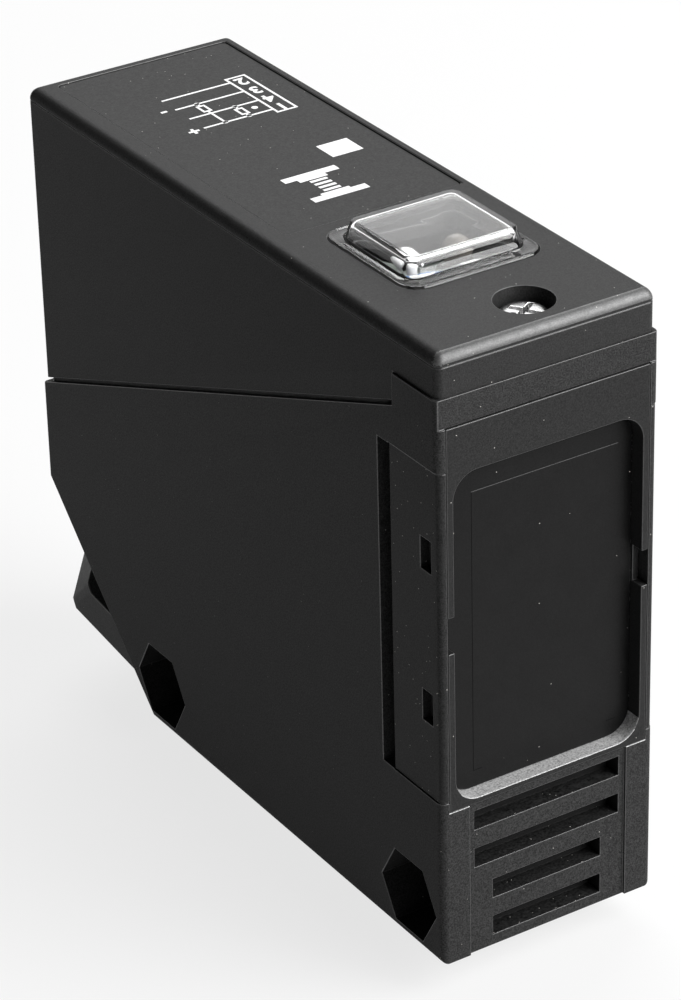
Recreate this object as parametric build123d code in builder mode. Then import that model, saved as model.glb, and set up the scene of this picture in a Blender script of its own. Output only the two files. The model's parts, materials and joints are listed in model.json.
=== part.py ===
from build123d import *
from math import asin, atan2, cos, degrees, hypot, radians, sin, tan
import os

# A block-shaped photoelectric sensor with a wedge-shaped terminal lid.
# Millimetres, +Z up. The optical face looks along -Y, the cable gland leaves the
# slanted lower back. The origin is the middle of the line between the two M5
# mounting holes, on the centre plane of the housing.

# ---------------------------------------------------------------- overall sizes
width = 25.8
depth = 78.5
height = 68.2                 # underside to the top of the lid, without the hood
wall = 2.2
corner_radius = 0.8
fit = 0.05                    # clearance between parts that are pushed together
loose = 0.2                   # clearance round parts that are laid in
cut_over = 1.0                # how far a cut runs on past the face that it opens

# slanted lower back with the cable gland
slant_run = 21.1              # how much of the depth it takes
slant_angle = 45.0
slant_start = depth - slant_run
slant_rise = slant_run * tan(radians(slant_angle))

# mounting holes with nut pockets
bolt_radius = 2.65            # M5 clearance
nut_flats = 8.5               # pocket for an M5 nut, 8 mm across flats
nut_pocket_depth = 5.0
nut_floor = 1.0               # moulding under a pocket
nut_ahead = 1.85              # moulding between the front pocket's flats and the front
slant_to_bolt = 2.5           # rear bolt, ahead of the start of the slant
bolt_front = nut_flats / 2 + nut_ahead
bolt_height = nut_flats / 2 + nut_floor
bolt_pitch = slant_start - slant_to_bolt - bolt_front

front = -(bolt_front + bolt_pitch / 2)
base = -bolt_height
lid_top = base + height
half_width = width / 2
chamber_half = half_width - wall
back_inside = depth - wall

# joint between housing and lid, in the side view
step_depth = 7.6              # the front land that carries the lid screw
lid_front_height = 4.6        # the lid above that land
step_drop = 3.4
joint_back_height = 32.9
joint_gap = 0.45
lid_inset = 0.3
lid_wall = 2.2
lid_edge_radius = 1.2
front_joint_height = height - lid_front_height
joint_step_height = front_joint_height - step_drop
joint_run = depth - step_depth
joint_slope = (joint_step_height - joint_back_height) / joint_run
joint_angle = degrees(atan2(joint_step_height - joint_back_height, joint_run))
joint_length = hypot(joint_run, joint_step_height - joint_back_height)


def joint_height(from_front):
    """Height of the sloping joint plane above the underside."""
    return joint_step_height - joint_slope * (from_front - step_depth)


# front cover and its window
cover_bottom = 17.9
cover_thickness = 3.2
cover_corner = 1.05           # housing corner beside the cover
cover_bar = 0.75              # cover beside the window
band_height = 3.1             # housing band above the cover
band_inset = 0.2
window_sill = 0.7             # cover below the window
window_head = 5.2             # cover above it
window_radius = 2.8
pane_depth = 1.7              # how far the pane sits behind the front face
notch_height = 4.0
notch_middle = 38.0
notch_depth = 1.5
cover_top = front_joint_height - band_height
cover_middle = (cover_top + cover_bottom) / 2
cover_half = half_width - cover_corner
window_half = cover_half - cover_bar
window_bottom = cover_bottom + window_sill
window_top = cover_top - window_head
window_height = window_top - window_bottom
window_middle = (window_top + window_bottom) / 2

# seal behind the pane
pane_seal_bar = 1.2
pane_seal_thickness = 0.6
pane_seal_inset = 0.4
pane_seal_corner = 0.6
pane_seal_size = (
    2 * (window_half - pane_seal_inset), window_height - 2 * (pane_seal_inset + loose)
)

# the U-shaped frame whose arms show on both sides
wing_sill = 0.5               # its lower edge, above the window's
wing_head = 0.6               # its upper edge, above the window's
wing_length = 8.4
wing_inset = 0.15
wing_thickness = 0.85
web_thickness = 1.95
groove_width = 1.9
groove_room = 0.55            # groove behind an arm, deeper than the arm
snap_length = 3.5
snap_width = 1.8
snap_front = 1.5
snap_low = 10.2               # lower snap window, above the arm's lower edge
snap_high = 9.6               # upper snap window, below the arm's upper edge
catch_height = 0.5
catch_width = 1.3
catch_behind_web = 1.1
wing_bottom = window_bottom + wing_sill
wing_top = window_top + wing_head
wing_height = wing_top - wing_bottom
wing_middle = (wing_top + wing_bottom) / 2
web_front = cover_thickness + fit
web_back = web_front + web_thickness
arm_inside = half_width - wing_inset - wing_thickness
groove_inside = arm_inside - groove_room
snap_heights = (wing_bottom + snap_low, wing_top - snap_high)
snap_pocket_depth = wing_inset + wing_thickness + catch_height + loose

# sunk panel with four slots in the nose
panel_margin = 3.4
panel_depth = 0.3
slot_height = 2.2
slot_pitch = 4.45
slot_lowest = 1.3
slot_depth = 2.0
slot_margin = 0.7             # panel beyond the end of a long slot
slot_to_pocket = 1.3          # moulding between a short slot and the nut pockets
panel_half = half_width - panel_margin
short_slot = half_width - nut_pocket_depth - slot_to_pocket
long_slot = panel_half - slot_margin
slot_halves = (short_slot, short_slot, long_slot, long_slot)

# deck that closes the electronics, under the joint
deck_top_gap = 0.3
deck_thickness = 1.4
deck_reach = deck_top_gap + deck_thickness
board_headroom = 3.0          # from the joint down to the upright boards

# optics block, lenses and board
board_thickness = 1.6
block_depth = 15.75
block_headroom = 0.32         # from the block to the underside of the deck
block_floor_gap = 0.1
lens_land = 0.4               # block round a lens
lens_middle_gap = 0.3         # more of it between the two
lens_rim = 2.5
lens_rim_width = 0.8
lens_bulge = 1.8
aperture_lap = 0.5            # how far the frame's web covers a lens's rim
tube_back_radius = 3.2
block_back = web_back + block_depth
optics_board_back = block_back + board_thickness

# hood over the indicators
hood_x = 0.9
hood_from_front = 20.9
hood_flange = 16.2
hood_flange_thickness = 0.8
hood_flange_radius = 2.4
hood_rim = (1.1, 1.8)         # flange beside the dome, across and along
hood_rise = 2.2
hood_draft = 24.0
hood_wall = 1.0
hood_ledge = 0.8              # lid under the dome's edge
hood_radius = 1.8
hood_base = (hood_flange - 2 * hood_rim[0], hood_flange - 2 * hood_rim[1])

# captive lid screw
screw_x = 0.9
screw_to_step = 2.1
screw_radius = 1.5            # M3
screw_head_radius = 2.8
screw_head_height = 2.4
screw_bore_room = 0.25
screw_web = 1.1               # lid under the head
screw_above_frame = 0.8       # the screw's tip, above the snap frame
insert_wall = 0.6
insert_length = 3.4
insert_below_tip = 0.3
retainer_width = 0.5
retainer_thickness = 0.45
hole_room = 0.2
thread_room = 0.06
screw_from_front = step_depth - screw_to_step
seat_height = front_joint_height + screw_web
screw_tip = wing_top + screw_above_frame
insert_radius = screw_radius + insert_wall
retainer_radius = screw_radius + retainer_width

# label area on the lid
label_margin = 1.8            # lid between it and the hood, and behind it
label_left = 2.8
label_right = 1.6
label_thickness = 0.25
label_sink = 0.1

# lid, derived
lid_front = lid_inset + fit
lid_back = depth - lid_inset
lid_step = step_depth + loose
lid_half = half_width - lid_inset
lid_inner_half = lid_half - lid_wall
lid_inside_front = lid_step + lid_wall + 2 * loose
label_front = hood_from_front + hood_flange / 2 + label_margin
label_back = lid_back - label_margin
label_length = label_back - label_front
label_middle = (label_front + label_back) / 2
label_width = 2 * lid_half - label_left - label_right
label_x = (label_left - label_right) / 2

# seal along the joint
seal_width = 1.0
seal_sink = 0.6
seal_radius = 1.5
seal_half = half_width - wall / 2 + seal_width / 2
seal_start = (wall - seal_width) / 2 / cos(radians(joint_angle))
seal_middle = joint_length / 2
seal_length = joint_length - 2 * seal_start

# cable gland
gland_past_middle = 0.21      # behind the middle of the slant
gland_thread_radius = 7.9     # M16
gland_collar_lap = 1.4
gland_collar_thickness = 1.6
gland_neck_relief = 0.5
gland_nut_lap = 1.7           # nut's flats outside the collar
gland_turn = 7.5              # degrees that the nut happens to stand turned
nut_start = 3.4
nut_hex_length = 5.4
nut_cone_length = 2.2
nut_cone_draft = 30.0
nut_cone_step = 1.2
nut_corner_cut = 0.35
gland_end_inside = 0.6        # gland body, short of the hexagon's end
cable_radius = 3.5
cable_room = 0.6
seal_seat = 1.6
grommet_wall = 1.5            # gland body round the rubber sleeve
gland_wall = 0.4              # slanted wall, thicker than the others
gland_collar_radius = gland_thread_radius + gland_collar_lap
gland_neck_radius = gland_thread_radius - gland_neck_relief
gland_flats = 2 * (gland_collar_radius + gland_nut_lap)
gland_end = nut_start + nut_hex_length - gland_end_inside
grommet_radius = gland_neck_radius - grommet_wall
slant_inside = slant_start - (wall + gland_wall) / sin(radians(slant_angle))

# terminals
terminal_count = 4
terminal_depth = 11.0
terminal_height = 14.0
terminal_end_wall = 1.1
wiring_length = 16.1          # room between the terminals and the back wall
partition_thickness = 2.0
shelf_thickness = 2.0
cell_wall = 0.8
cell_length = 4.8
cell_from_front = 5.4         # middle of the cells, behind the block's front
terminal_front = back_inside - wiring_length - terminal_depth
terminal_back = terminal_front + terminal_depth
terminal_bottom = joint_height(terminal_back) + fit - terminal_height
terminal_pitch = 2 * (chamber_half - terminal_end_wall) / terminal_count
cell_width = terminal_pitch - cell_wall
cell_middle = terminal_front + cell_from_front
cell_xs = [(i - (terminal_count - 1) / 2) * terminal_pitch for i in range(terminal_count)]
strip_width = 1.6
strip_thickness = 0.6
strip_height = terminal_bottom + 5.0
strip_middle = strip_height + strip_thickness / 2
partition_front = terminal_front - partition_thickness
board_to_partition = 0.6
terminal_board_front = partition_front - board_to_partition - board_thickness

# inside of the housing
nose_wall = 3.65              # moulding behind the front nut pockets' flats
sump_behind_terminals = 1.6
terminal_floor_wall = 3.5     # moulding above the rear nut pockets
ceiling_drop = 0.4            # optics room's ceiling, below the arms' upper edge
nose_back = bolt_front + nut_flats / 2 + nose_wall
gland_sump = terminal_back + sump_behind_terminals
terminal_floor = bolt_height + nut_flats / 2 + terminal_floor_wall
optics_floor = wing_bottom + block_floor_gap
optics_ceiling = wing_top - ceiling_drop
deck_front = step_depth + wall + fit


def at(from_front, above_base):
    """A point of the side view, behind the front face and above the underside."""
    return (front + from_front, base + above_base)


def slope_plane(lift):
    """The joint plane, lifted square to itself; its local y runs down to the back."""
    normal = Vector(0, sin(radians(joint_angle)), cos(radians(joint_angle)))
    y, z = at(step_depth, joint_step_height)
    return Plane(origin=Vector(0, y, z) + normal * lift, x_dir=(1, 0, 0), z_dir=normal)


gland_run = slant_run / 2 + gland_past_middle
gland_out = Vector(0, sin(radians(slant_angle)), -cos(radians(slant_angle)))
gland_y, gland_z = at(slant_start + gland_run, gland_run * tan(radians(slant_angle)))


def gland_plane(out):
    """A plane square to the gland's axis, out from the slanted wall."""
    return Plane(
        origin=Vector(0, gland_y, gland_z) + gland_out * out, x_dir=(1, 0, 0), z_dir=gland_out
    )


def front_plane(from_front):
    """A plane parallel to the front face that looks to the front: local x is X, y is Z."""
    return Plane(origin=(0, front + from_front, base), x_dir=(1, 0, 0), z_dir=(0, -1, 0))


def level_plane(above_base):
    """A level plane with its origin on the front face's centre line."""
    return Plane(origin=(0, front, base + above_base))


# the block reaches up to the sloping deck, and two lenses fill its height
block_bottom = optics_floor
block_top = (
    joint_height(optics_board_back) - deck_reach / cos(radians(joint_angle)) - block_headroom
)
block_middle = (block_bottom + block_top) / 2
lens_pitch = (block_top - block_bottom - lens_middle_gap) / 2
lens_heights = (block_middle - lens_pitch / 2, block_middle + lens_pitch / 2)
lens_radius = lens_pitch / 2 - lens_land
lens_clear_radius = lens_radius - lens_rim_width
aperture_radius = lens_radius - aperture_lap
bolts = [at(bolt_front, bolt_height), at(bolt_front + bolt_pitch, bolt_height)]
upright_board_width = 2 * (chamber_half - loose)

pieces = []


def finish(piece, name):
    """Names a finished piece, writes its STEP file and keeps it for the printout."""
    piece.part.label = name
    export_step(piece.part, f"parts/{name}.step")
    pieces.append(piece.part)


os.makedirs("parts", exist_ok=True)

# ---------------------------------------------------------------------- housing
with BuildPart() as housing:
    with BuildSketch(Plane.YZ):
        with BuildLine():
            Polyline(
                at(0, 0),
                at(slant_start, 0),
                at(depth, slant_rise),
                at(depth, joint_back_height),
                at(step_depth, joint_step_height),
                at(step_depth, front_joint_height),
                at(0, front_joint_height),
                close=True,
            )
        make_face()
    extrude(amount=half_width, both=True)
    side_edges = housing.faces().filter_by(Axis.X).edges()
    rounded = side_edges.filter_by(
        lambda e: e.center().Z - base < joint_height(e.center().Y - front) - 0.1
    )
    fillet(rounded, radius=corner_radius)

    # electronics chamber, open to the front for the optics and to the slope above
    with BuildSketch(Plane.YZ):
        with BuildLine():
            Polyline(
                at(web_back, optics_floor),
                at(nose_back, optics_floor),
                at(nose_back, wall),
                at(partition_front, wall),
                at(partition_front, height),
                at(step_depth + wall, height),
                at(step_depth + wall, optics_ceiling),
                at(web_back, optics_ceiling),
                close=True,
            )
        make_face()
    extrude(amount=chamber_half, both=True, mode=Mode.SUBTRACT)

    # terminal chamber, with a sump down to the gland
    with BuildSketch(Plane.YZ):
        with BuildLine():
            Polyline(
                at(terminal_front, terminal_floor),
                at(gland_sump, terminal_floor),
                at(gland_sump, (gland_sump - slant_inside) * tan(radians(slant_angle))),
                at(back_inside, (back_inside - slant_inside) * tan(radians(slant_angle))),
                at(back_inside, height),
                at(terminal_front, height),
                close=True,
            )
        make_face()
    extrude(amount=chamber_half, both=True, mode=Mode.SUBTRACT)

    # seat of the front cover, seat of the frame's web and arms, grooves behind the arms
    with BuildSketch(front_plane(0)):
        with Locations((0, cover_middle)):
            Rectangle(2 * (cover_half + fit), cover_top - cover_bottom)
    extrude(amount=-cover_thickness, mode=Mode.SUBTRACT)
    with BuildSketch(front_plane(0)):
        with Locations((0, wing_middle)):
            Rectangle(width + cut_over, wing_height)
    extrude(amount=-web_back, mode=Mode.SUBTRACT)
    with BuildSketch(front_plane(web_back)):
        with Locations((0, wing_middle)):
            Rectangle(width + cut_over, wing_height)
            Rectangle(2 * arm_inside, wing_height, mode=Mode.SUBTRACT)
    extrude(amount=-(wing_length - web_back), mode=Mode.SUBTRACT)
    with BuildSketch(front_plane(wing_length)):
        with Locations((0, wing_middle)):
            Rectangle(width + cut_over, wing_height - loose)
            Rectangle(2 * groove_inside, wing_height, mode=Mode.SUBTRACT)
    extrude(amount=-groove_width, mode=Mode.SUBTRACT)

    # band above the cover stands back a little
    with BuildSketch(front_plane(0)):
        with Locations((0, cover_top + band_height / 2)):
            Rectangle(width, band_height)
    extrude(amount=-band_inset, mode=Mode.SUBTRACT)

    # sunk panel and its four slots
    with BuildSketch(front_plane(0)):
        with Locations((0, (cover_bottom - cut_over) / 2)):
            Rectangle(2 * panel_half, cover_bottom + cut_over)
    extrude(amount=-panel_depth, mode=Mode.SUBTRACT)
    with BuildSketch(front_plane(0)):
        for row, half in enumerate(slot_halves):
            with Locations((0, slot_lowest + row * slot_pitch + slot_height / 2)):
                Rectangle(2 * half, slot_height)
    extrude(amount=-(panel_depth + slot_depth), mode=Mode.SUBTRACT)

    # mounting holes with a nut pocket on each side
    with BuildSketch(Plane.YZ.offset(-half_width)):
        with Locations(*bolts):
            Circle(bolt_radius)
    extrude(amount=width, mode=Mode.SUBTRACT)
    for side in (-1, 1):
        with BuildSketch(Plane.YZ.offset(side * half_width)):
            with Locations(*bolts):
                RegularPolygon(nut_flats / 2, 6, major_radius=False)
        extrude(amount=-side * nut_pocket_depth, mode=Mode.SUBTRACT)

    # pockets behind the arms' snap windows, and beside the web for its catches
    for side in (-1, 1):
        with BuildSketch(Plane.YZ.offset(side * half_width)):
            with Locations(*[at(snap_front + snap_width / 2, z) for z in snap_heights]):
                Rectangle(snap_width, snap_length)
            with Locations(*[at(web_back + catch_behind_web, z) for z in snap_heights]):
                Rectangle(catch_width + 1.5 * loose, snap_length)
        extrude(amount=-side * snap_pocket_depth, mode=Mode.SUBTRACT)

    # blind hole for the lid screw, with a wider chamber for the moulded-in insert
    with BuildSketch(level_plane(screw_tip - insert_below_tip)):
        with Locations((screw_x, screw_from_front)):
            Circle(screw_radius + hole_room)
    extrude(amount=front_joint_height - screw_tip + insert_below_tip, mode=Mode.SUBTRACT)
    with BuildSketch(level_plane(screw_tip - insert_below_tip)):
        with Locations((screw_x, screw_from_front)):
            Circle(insert_radius)
    extrude(amount=insert_length, mode=Mode.SUBTRACT)

    # threaded hole for the gland
    with BuildSketch(gland_plane(cut_over)):
        Circle(gland_thread_radius)
    extrude(amount=-(2 * wall + gland_wall + cut_over), mode=Mode.SUBTRACT)

    # seal groove along the slope
    with BuildSketch(slope_plane(0)):
        with Locations((0, seal_middle)):
            RectangleRounded(2 * seal_half, seal_length, seal_radius)
            RectangleRounded(
                2 * (seal_half - seal_width),
                seal_length - 2 * seal_width,
                seal_radius - seal_width,
                mode=Mode.SUBTRACT,
            )
    extrude(amount=-seal_sink, mode=Mode.SUBTRACT)

    # holes in the partition for the contact strips
    with BuildSketch(front_plane(terminal_front)):
        with Locations(*[(x, strip_middle) for x in cell_xs]):
            Rectangle(strip_width, strip_thickness)
    extrude(amount=partition_thickness, mode=Mode.SUBTRACT)

    # shelf that carries the terminal block
    with BuildSketch(front_plane(terminal_front)):
        with Locations((0, terminal_bottom - shelf_thickness / 2)):
            Rectangle(2 * chamber_half, shelf_thickness)
    extrude(amount=-terminal_depth)
finish(housing, "housing")

# ------------------------------------------------------------- front and optics
with BuildPart() as front_cover:
    with BuildSketch(front_plane(0)):
        with Locations((0, cover_middle)):
            Rectangle(2 * cover_half, cover_top - cover_bottom - 2 * fit)
        with Locations((0, window_middle)):
            RectangleRounded(2 * window_half, window_height, window_radius, mode=Mode.SUBTRACT)
    extrude(amount=-cover_thickness)
    with BuildSketch(front_plane(0)):
        with Locations((-cover_half, notch_middle), (cover_half, notch_middle)):
            Rectangle(2 * (cover_bar + fit), notch_height)
    extrude(amount=-notch_depth, mode=Mode.SUBTRACT)
finish(front_cover, "front_cover")

with BuildPart() as window_pane:
    with BuildSketch(front_plane(pane_depth)):
        with Locations((0, window_middle)):
            RectangleRounded(
                2 * (window_half - fit), window_height - 2 * fit, window_radius - fit
            )
    extrude(amount=-(cover_thickness - pane_depth))
finish(window_pane, "window_pane")

with BuildPart() as pane_seal:
    with BuildSketch(front_plane(cover_thickness)):
        with Locations((0, window_middle)):
            RectangleRounded(
                pane_seal_size[0], pane_seal_size[1], window_radius - pane_seal_corner
            )
            RectangleRounded(
                pane_seal_size[0] - 2 * pane_seal_bar,
                pane_seal_size[1] - 2 * pane_seal_bar,
                window_radius - pane_seal_bar,
                mode=Mode.SUBTRACT,
            )
    extrude(amount=-pane_seal_thickness)
finish(pane_seal, "pane_seal")

with BuildPart() as snap_frame:
    with BuildSketch(front_plane(web_front)):
        with Locations((0, wing_middle)):
            Rectangle(2 * (half_width - wing_inset), wing_height - 2 * fit)
        with Locations(*[(0, z) for z in lens_heights]):
            Circle(aperture_radius, mode=Mode.SUBTRACT)
    extrude(amount=-web_thickness)
    with BuildSketch(front_plane(0)):
        with Locations((0, wing_middle)):
            Rectangle(2 * (half_width - wing_inset), wing_height - 2 * fit)
            Rectangle(2 * arm_inside, wing_height, mode=Mode.SUBTRACT)
    extrude(amount=-wing_length)
    outer_front_edges = snap_frame.edges().filter_by(Axis.Z).filter_by(
        lambda e: abs(e.center().X) > half_width - wing_inset - 0.01
        and e.center().Y < front + 0.01
    )
    fillet(outer_front_edges, radius=corner_radius - wing_inset)
    # seat of the pane's seal
    with BuildSketch(front_plane(web_front)):
        with Locations((0, window_middle)):
            Rectangle(pane_seal_size[0] + 2 * fit, pane_seal_size[1] + 2 * fit)
            RectangleRounded(
                pane_seal_size[0] - 2 * pane_seal_bar,
                pane_seal_size[1] - 2 * pane_seal_bar,
                window_radius - pane_seal_bar,
                mode=Mode.SUBTRACT,
            )
    extrude(amount=-(pane_seal_thickness - (web_front - cover_thickness)), mode=Mode.SUBTRACT)
    with BuildSketch(Plane.YZ.offset(-half_width)):
        with Locations(*[at(snap_front + snap_width / 2, z) for z in snap_heights]):
            Rectangle(snap_width, snap_length)
    extrude(amount=width, mode=Mode.SUBTRACT)
    # catches that drop into the housing's pockets
    for side in (-1, 1):
        with BuildSketch(Plane.YZ.offset(side * arm_inside)):
            with Locations(*[at(web_back + catch_behind_web, z) for z in snap_heights]):
                Rectangle(catch_width, snap_length - 2 * loose)
        extrude(amount=-side * catch_height)
finish(snap_frame, "snap_frame")

for lens_name, lens_height in zip(("receiver_lens", "emitter_lens"), lens_heights):
    with BuildPart() as lens:
        with BuildSketch(front_plane(web_back)):
            with Locations((0, lens_height)):
                Circle(lens_radius)
        extrude(amount=-lens_rim)
        # spherical front: a cap of the wanted height on the clear radius
        sphere = (lens_clear_radius**2 + lens_bulge**2) / (2 * lens_bulge)
        halfway = asin(lens_clear_radius / sphere) / 2
        y, z = at(web_back, lens_height)
        with BuildSketch(Plane.YZ):
            with BuildLine():
                ThreePointArc(
                    (y - lens_bulge, z),
                    (y - lens_bulge + sphere * (1 - cos(halfway)), z + sphere * sin(halfway)),
                    (y, z + lens_clear_radius),
                )
                Line((y, z + lens_clear_radius), (y, z))
                Line((y, z), (y - lens_bulge, z))
            make_face()
        revolve(axis=Axis((0, y, z), (0, 1, 0)))
    finish(lens, lens_name)

# the board stands behind the block, and two screws between the lenses hold it
board_screw_radius = 1.0
board_screw_grip = 4.5
board_screw_head = (1.9, 1.3)     # radius, height
board_screw_recess = (2.2, 0.5, 0.7)    # length, width, depth
board_screw_side = 2.4            # in from the chamber's wall
board_screw_xs = (board_screw_side - chamber_half, chamber_half - board_screw_side)
with BuildPart() as optics_block:
    with BuildSketch(front_plane(web_back)):
        with Locations((0, block_middle)):
            Rectangle(2 * chamber_half, block_top - block_bottom)
    extrude(amount=-block_depth)
    for z in lens_heights:
        with BuildSketch(front_plane(web_back)):
            with Locations((0, z)):
                Circle(lens_radius)
        extrude(amount=-lens_rim, mode=Mode.SUBTRACT)
        with BuildSketch(front_plane(web_back + lens_rim)):
            with Locations((0, z)):
                Circle(lens_clear_radius)
        with BuildSketch(front_plane(block_back)):
            with Locations((0, z)):
                Circle(tube_back_radius)
        loft(mode=Mode.SUBTRACT)
    with BuildSketch(front_plane(block_back)):
        with Locations(*[(x, block_middle) for x in board_screw_xs]):
            Circle(board_screw_radius)
    extrude(amount=board_screw_grip + loose, mode=Mode.SUBTRACT)
finish(optics_block, "optics_block")

with BuildPart() as optics_board:
    with BuildSketch(front_plane(block_back)):
        with Locations((0, block_middle)):
            Rectangle(upright_board_width, block_top - block_bottom - 2 * loose)
        with Locations(*[(x, block_middle) for x in board_screw_xs]):
            Circle(board_screw_radius + fit, mode=Mode.SUBTRACT)
    extrude(amount=-board_thickness)
finish(optics_board, "optics_board")

with BuildPart() as board_screws:
    for x in board_screw_xs:
        with BuildSketch(front_plane(optics_board_back)):
            with Locations((x, block_middle)):
                Circle(board_screw_radius)
        extrude(amount=board_thickness + board_screw_grip)
        with BuildSketch(front_plane(optics_board_back)):
            with Locations((x, block_middle)):
                Circle(board_screw_head[0])
        extrude(amount=-board_screw_head[1])
        with BuildSketch(front_plane(optics_board_back + board_screw_head[1])):
            with Locations((x, block_middle)):
                Rectangle(board_screw_recess[0], board_screw_recess[1])
                Rectangle(board_screw_recess[1], board_screw_recess[0])
        extrude(amount=board_screw_recess[2], mode=Mode.SUBTRACT)
finish(board_screws, "board_screws")

emitter_radius = 2.5              # a 5 mm diode
emitter_flange = (2.9, 1.0)       # radius, thickness
emitter_length = 4.0
with BuildPart() as emitter_led:
    with BuildSketch(front_plane(block_back)):
        with Locations((0, lens_heights[1])):
            Circle(emitter_flange[0])
    extrude(amount=emitter_flange[1])
    with BuildSketch(front_plane(block_back)):
        with Locations((0, lens_heights[1])):
            Circle(emitter_radius)
    extrude(amount=emitter_length)
    with Locations((0, *at(block_back - emitter_length, lens_heights[1]))):
        Sphere(emitter_radius)
finish(emitter_led, "emitter_led")

photodiode_size = (4.2, 1.6)      # side, thickness
photodiode_window = (3.0, 0.2)
with BuildPart() as photodiode:
    with BuildSketch(front_plane(block_back)):
        with Locations((0, lens_heights[0])):
            Rectangle(photodiode_size[0], photodiode_size[0])
    extrude(amount=photodiode_size[1])
    with BuildSketch(front_plane(block_back - photodiode_size[1])):
        with Locations((0, lens_heights[0])):
            Rectangle(photodiode_window[0], photodiode_window[0])
    extrude(amount=photodiode_window[1])
finish(photodiode, "photodiode")

# ------------------------------------------------------------------ electronics
board_to_strip = 0.3
main_board_x = cell_xs[terminal_count // 2] + strip_width / 2 + board_to_strip
board_length = terminal_board_front - optics_board_back
board_middle = optics_board_back + board_length / 2
with BuildPart() as main_board:
    with BuildSketch(Plane.YZ.offset(main_board_x)):
        with BuildLine():
            Polyline(
                at(optics_board_back, wall),
                at(terminal_board_front, wall),
                at(terminal_board_front, joint_height(terminal_board_front) - board_headroom),
                at(optics_board_back, joint_height(optics_board_back) - board_headroom),
                close=True,
            )
        make_face()
    extrude(amount=board_thickness)
finish(main_board, "main_board")

# along the board, as shares of its free length: middle, length; then in
# millimetres: above the base, height, thickness
chips = (
    (0.31, 0.31, 34.0, 7.0, 1.4),
    (0.31, 0.22, 22.0, 6.2, 1.5),
    (0.71, 0.28, 28.0, 5.0, 1.5),
    (0.71, 0.18, 16.0, 4.0, 1.0),
)
with BuildPart() as board_chips:
    for along, length, above, tall, thick in chips:
        with BuildSketch(Plane.YZ.offset(main_board_x + board_thickness)):
            with Locations(at(optics_board_back + along * board_length, above)):
                Rectangle(length * board_length, tall)
        extrude(amount=thick)
finish(board_chips, "board_chips")

capacitor_radius = 4.0
capacitor_length = 10.0
capacitor_height = 12.0
capacitor_edge = 0.6
with BuildPart() as smoothing_capacitor:
    with BuildSketch(Plane.YZ.offset(main_board_x)):
        with Locations(at(board_middle, capacitor_height)):
            Circle(capacitor_radius)
    extrude(amount=-capacitor_length)
    fillet(smoothing_capacitor.faces().sort_by(Axis.X)[0].edges(), radius=capacitor_edge)
finish(smoothing_capacitor, "smoothing_capacitor")

terminal_board_bottom = terminal_bottom - 6.0
terminal_board_top = joint_height(partition_front) - board_headroom
with BuildPart() as terminal_board:
    with BuildSketch(front_plane(terminal_board_front)):
        with Locations((0, (terminal_board_bottom + terminal_board_top) / 2)):
            Rectangle(upright_board_width, terminal_board_top - terminal_board_bottom)
        with Locations(*[(x, strip_middle) for x in cell_xs]):
            Rectangle(strip_width, strip_thickness, mode=Mode.SUBTRACT)
    extrude(amount=-board_thickness)
finish(terminal_board, "terminal_board")

# Sloping deck that closes the electronics, with posts for the display board.
lid_to_display = 7.2              # from the lid's top down to the underside of the board
display_thickness = 1.2
display_length = 14.0
display_side = 1.5                # between the board and the lid's inside
display_corner = 0.8
post_radius = 1.2
post_inset = 1.4
pin_count = 6
pin_pitch = 1.27
pin_size = 0.5
pin_slot = (8.2, 1.6)
display_height = height - lid_to_display
display_top = display_height + display_thickness
display_width = 2 * (lid_inner_half - hood_x - display_side)
pins_from_front = block_back + board_thickness / 2
optics_board_top = block_top - loose
deck_start = (deck_front - step_depth) / cos(radians(joint_angle)) + deck_reach * tan(
    radians(joint_angle)
)
deck_end = (partition_front - step_depth) / cos(radians(joint_angle)) - 2 * fit
deck_length = deck_end - deck_start
deck_middle = (deck_start + deck_end) / 2
post_length = display_height - joint_height(hood_from_front + display_length / 2) + deck_reach
with BuildPart() as deck_plate:
    with BuildSketch(slope_plane(-deck_top_gap)):
        with Locations((0, deck_middle)):
            Rectangle(2 * chamber_half, deck_length)
    extrude(amount=-deck_thickness)
    with BuildSketch(level_plane(display_height)):
        with Locations((hood_x, hood_from_front)):
            with GridLocations(
                display_width - 2 * post_inset, display_length - 2 * post_inset, 2, 2
            ):
                Circle(post_radius)
    extrude(amount=-post_length)
    with BuildSketch(level_plane(display_height)):
        with Locations((hood_x, pins_from_front)):
            Rectangle(*pin_slot)
    extrude(amount=-(display_height - optics_board_top), mode=Mode.SUBTRACT)
    with BuildSketch(slope_plane(-deck_reach)):
        with Locations((0, deck_middle)):
            Rectangle(width, depth)
    extrude(amount=-post_length, mode=Mode.SUBTRACT)
finish(deck_plate, "deck_plate")

with BuildPart() as display_board:
    with BuildSketch(level_plane(display_height)):
        with Locations((hood_x, hood_from_front)):
            RectangleRounded(display_width, display_length, display_corner)
    extrude(amount=display_thickness)
finish(display_board, "display_board")

with BuildPart() as display_pins:
    with BuildSketch(level_plane(display_height)):
        with Locations((hood_x, pins_from_front)):
            with GridLocations(pin_pitch, pin_pitch, pin_count, 1):
                Rectangle(pin_size, pin_size)
    extrude(amount=-(display_height - optics_board_top))
finish(display_pins, "display_pins")

# what stands on the display board, from the middle of the hood
led_radius = 1.5                  # 3 mm diodes
led_flange = (1.9, 0.9)           # radius, thickness
led_length = 3.4
led_places = {"power_led": (-1.8, 2.0), "switching_led": (4.1, 1.9)}
for led_name, (led_across, led_along) in led_places.items():
    led_place = (hood_x + led_across, hood_from_front + led_along)
    with BuildPart() as led:
        with BuildSketch(level_plane(display_top)):
            with Locations(led_place):
                Circle(led_flange[0])
        extrude(amount=led_flange[1])
        with BuildSketch(level_plane(display_top)):
            with Locations(led_place):
                Circle(led_radius)
        extrude(amount=led_length)
        with Locations((led_place[0], *at(led_place[1], display_top + led_length))):
            Sphere(led_radius)
    finish(led, led_name)

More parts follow.
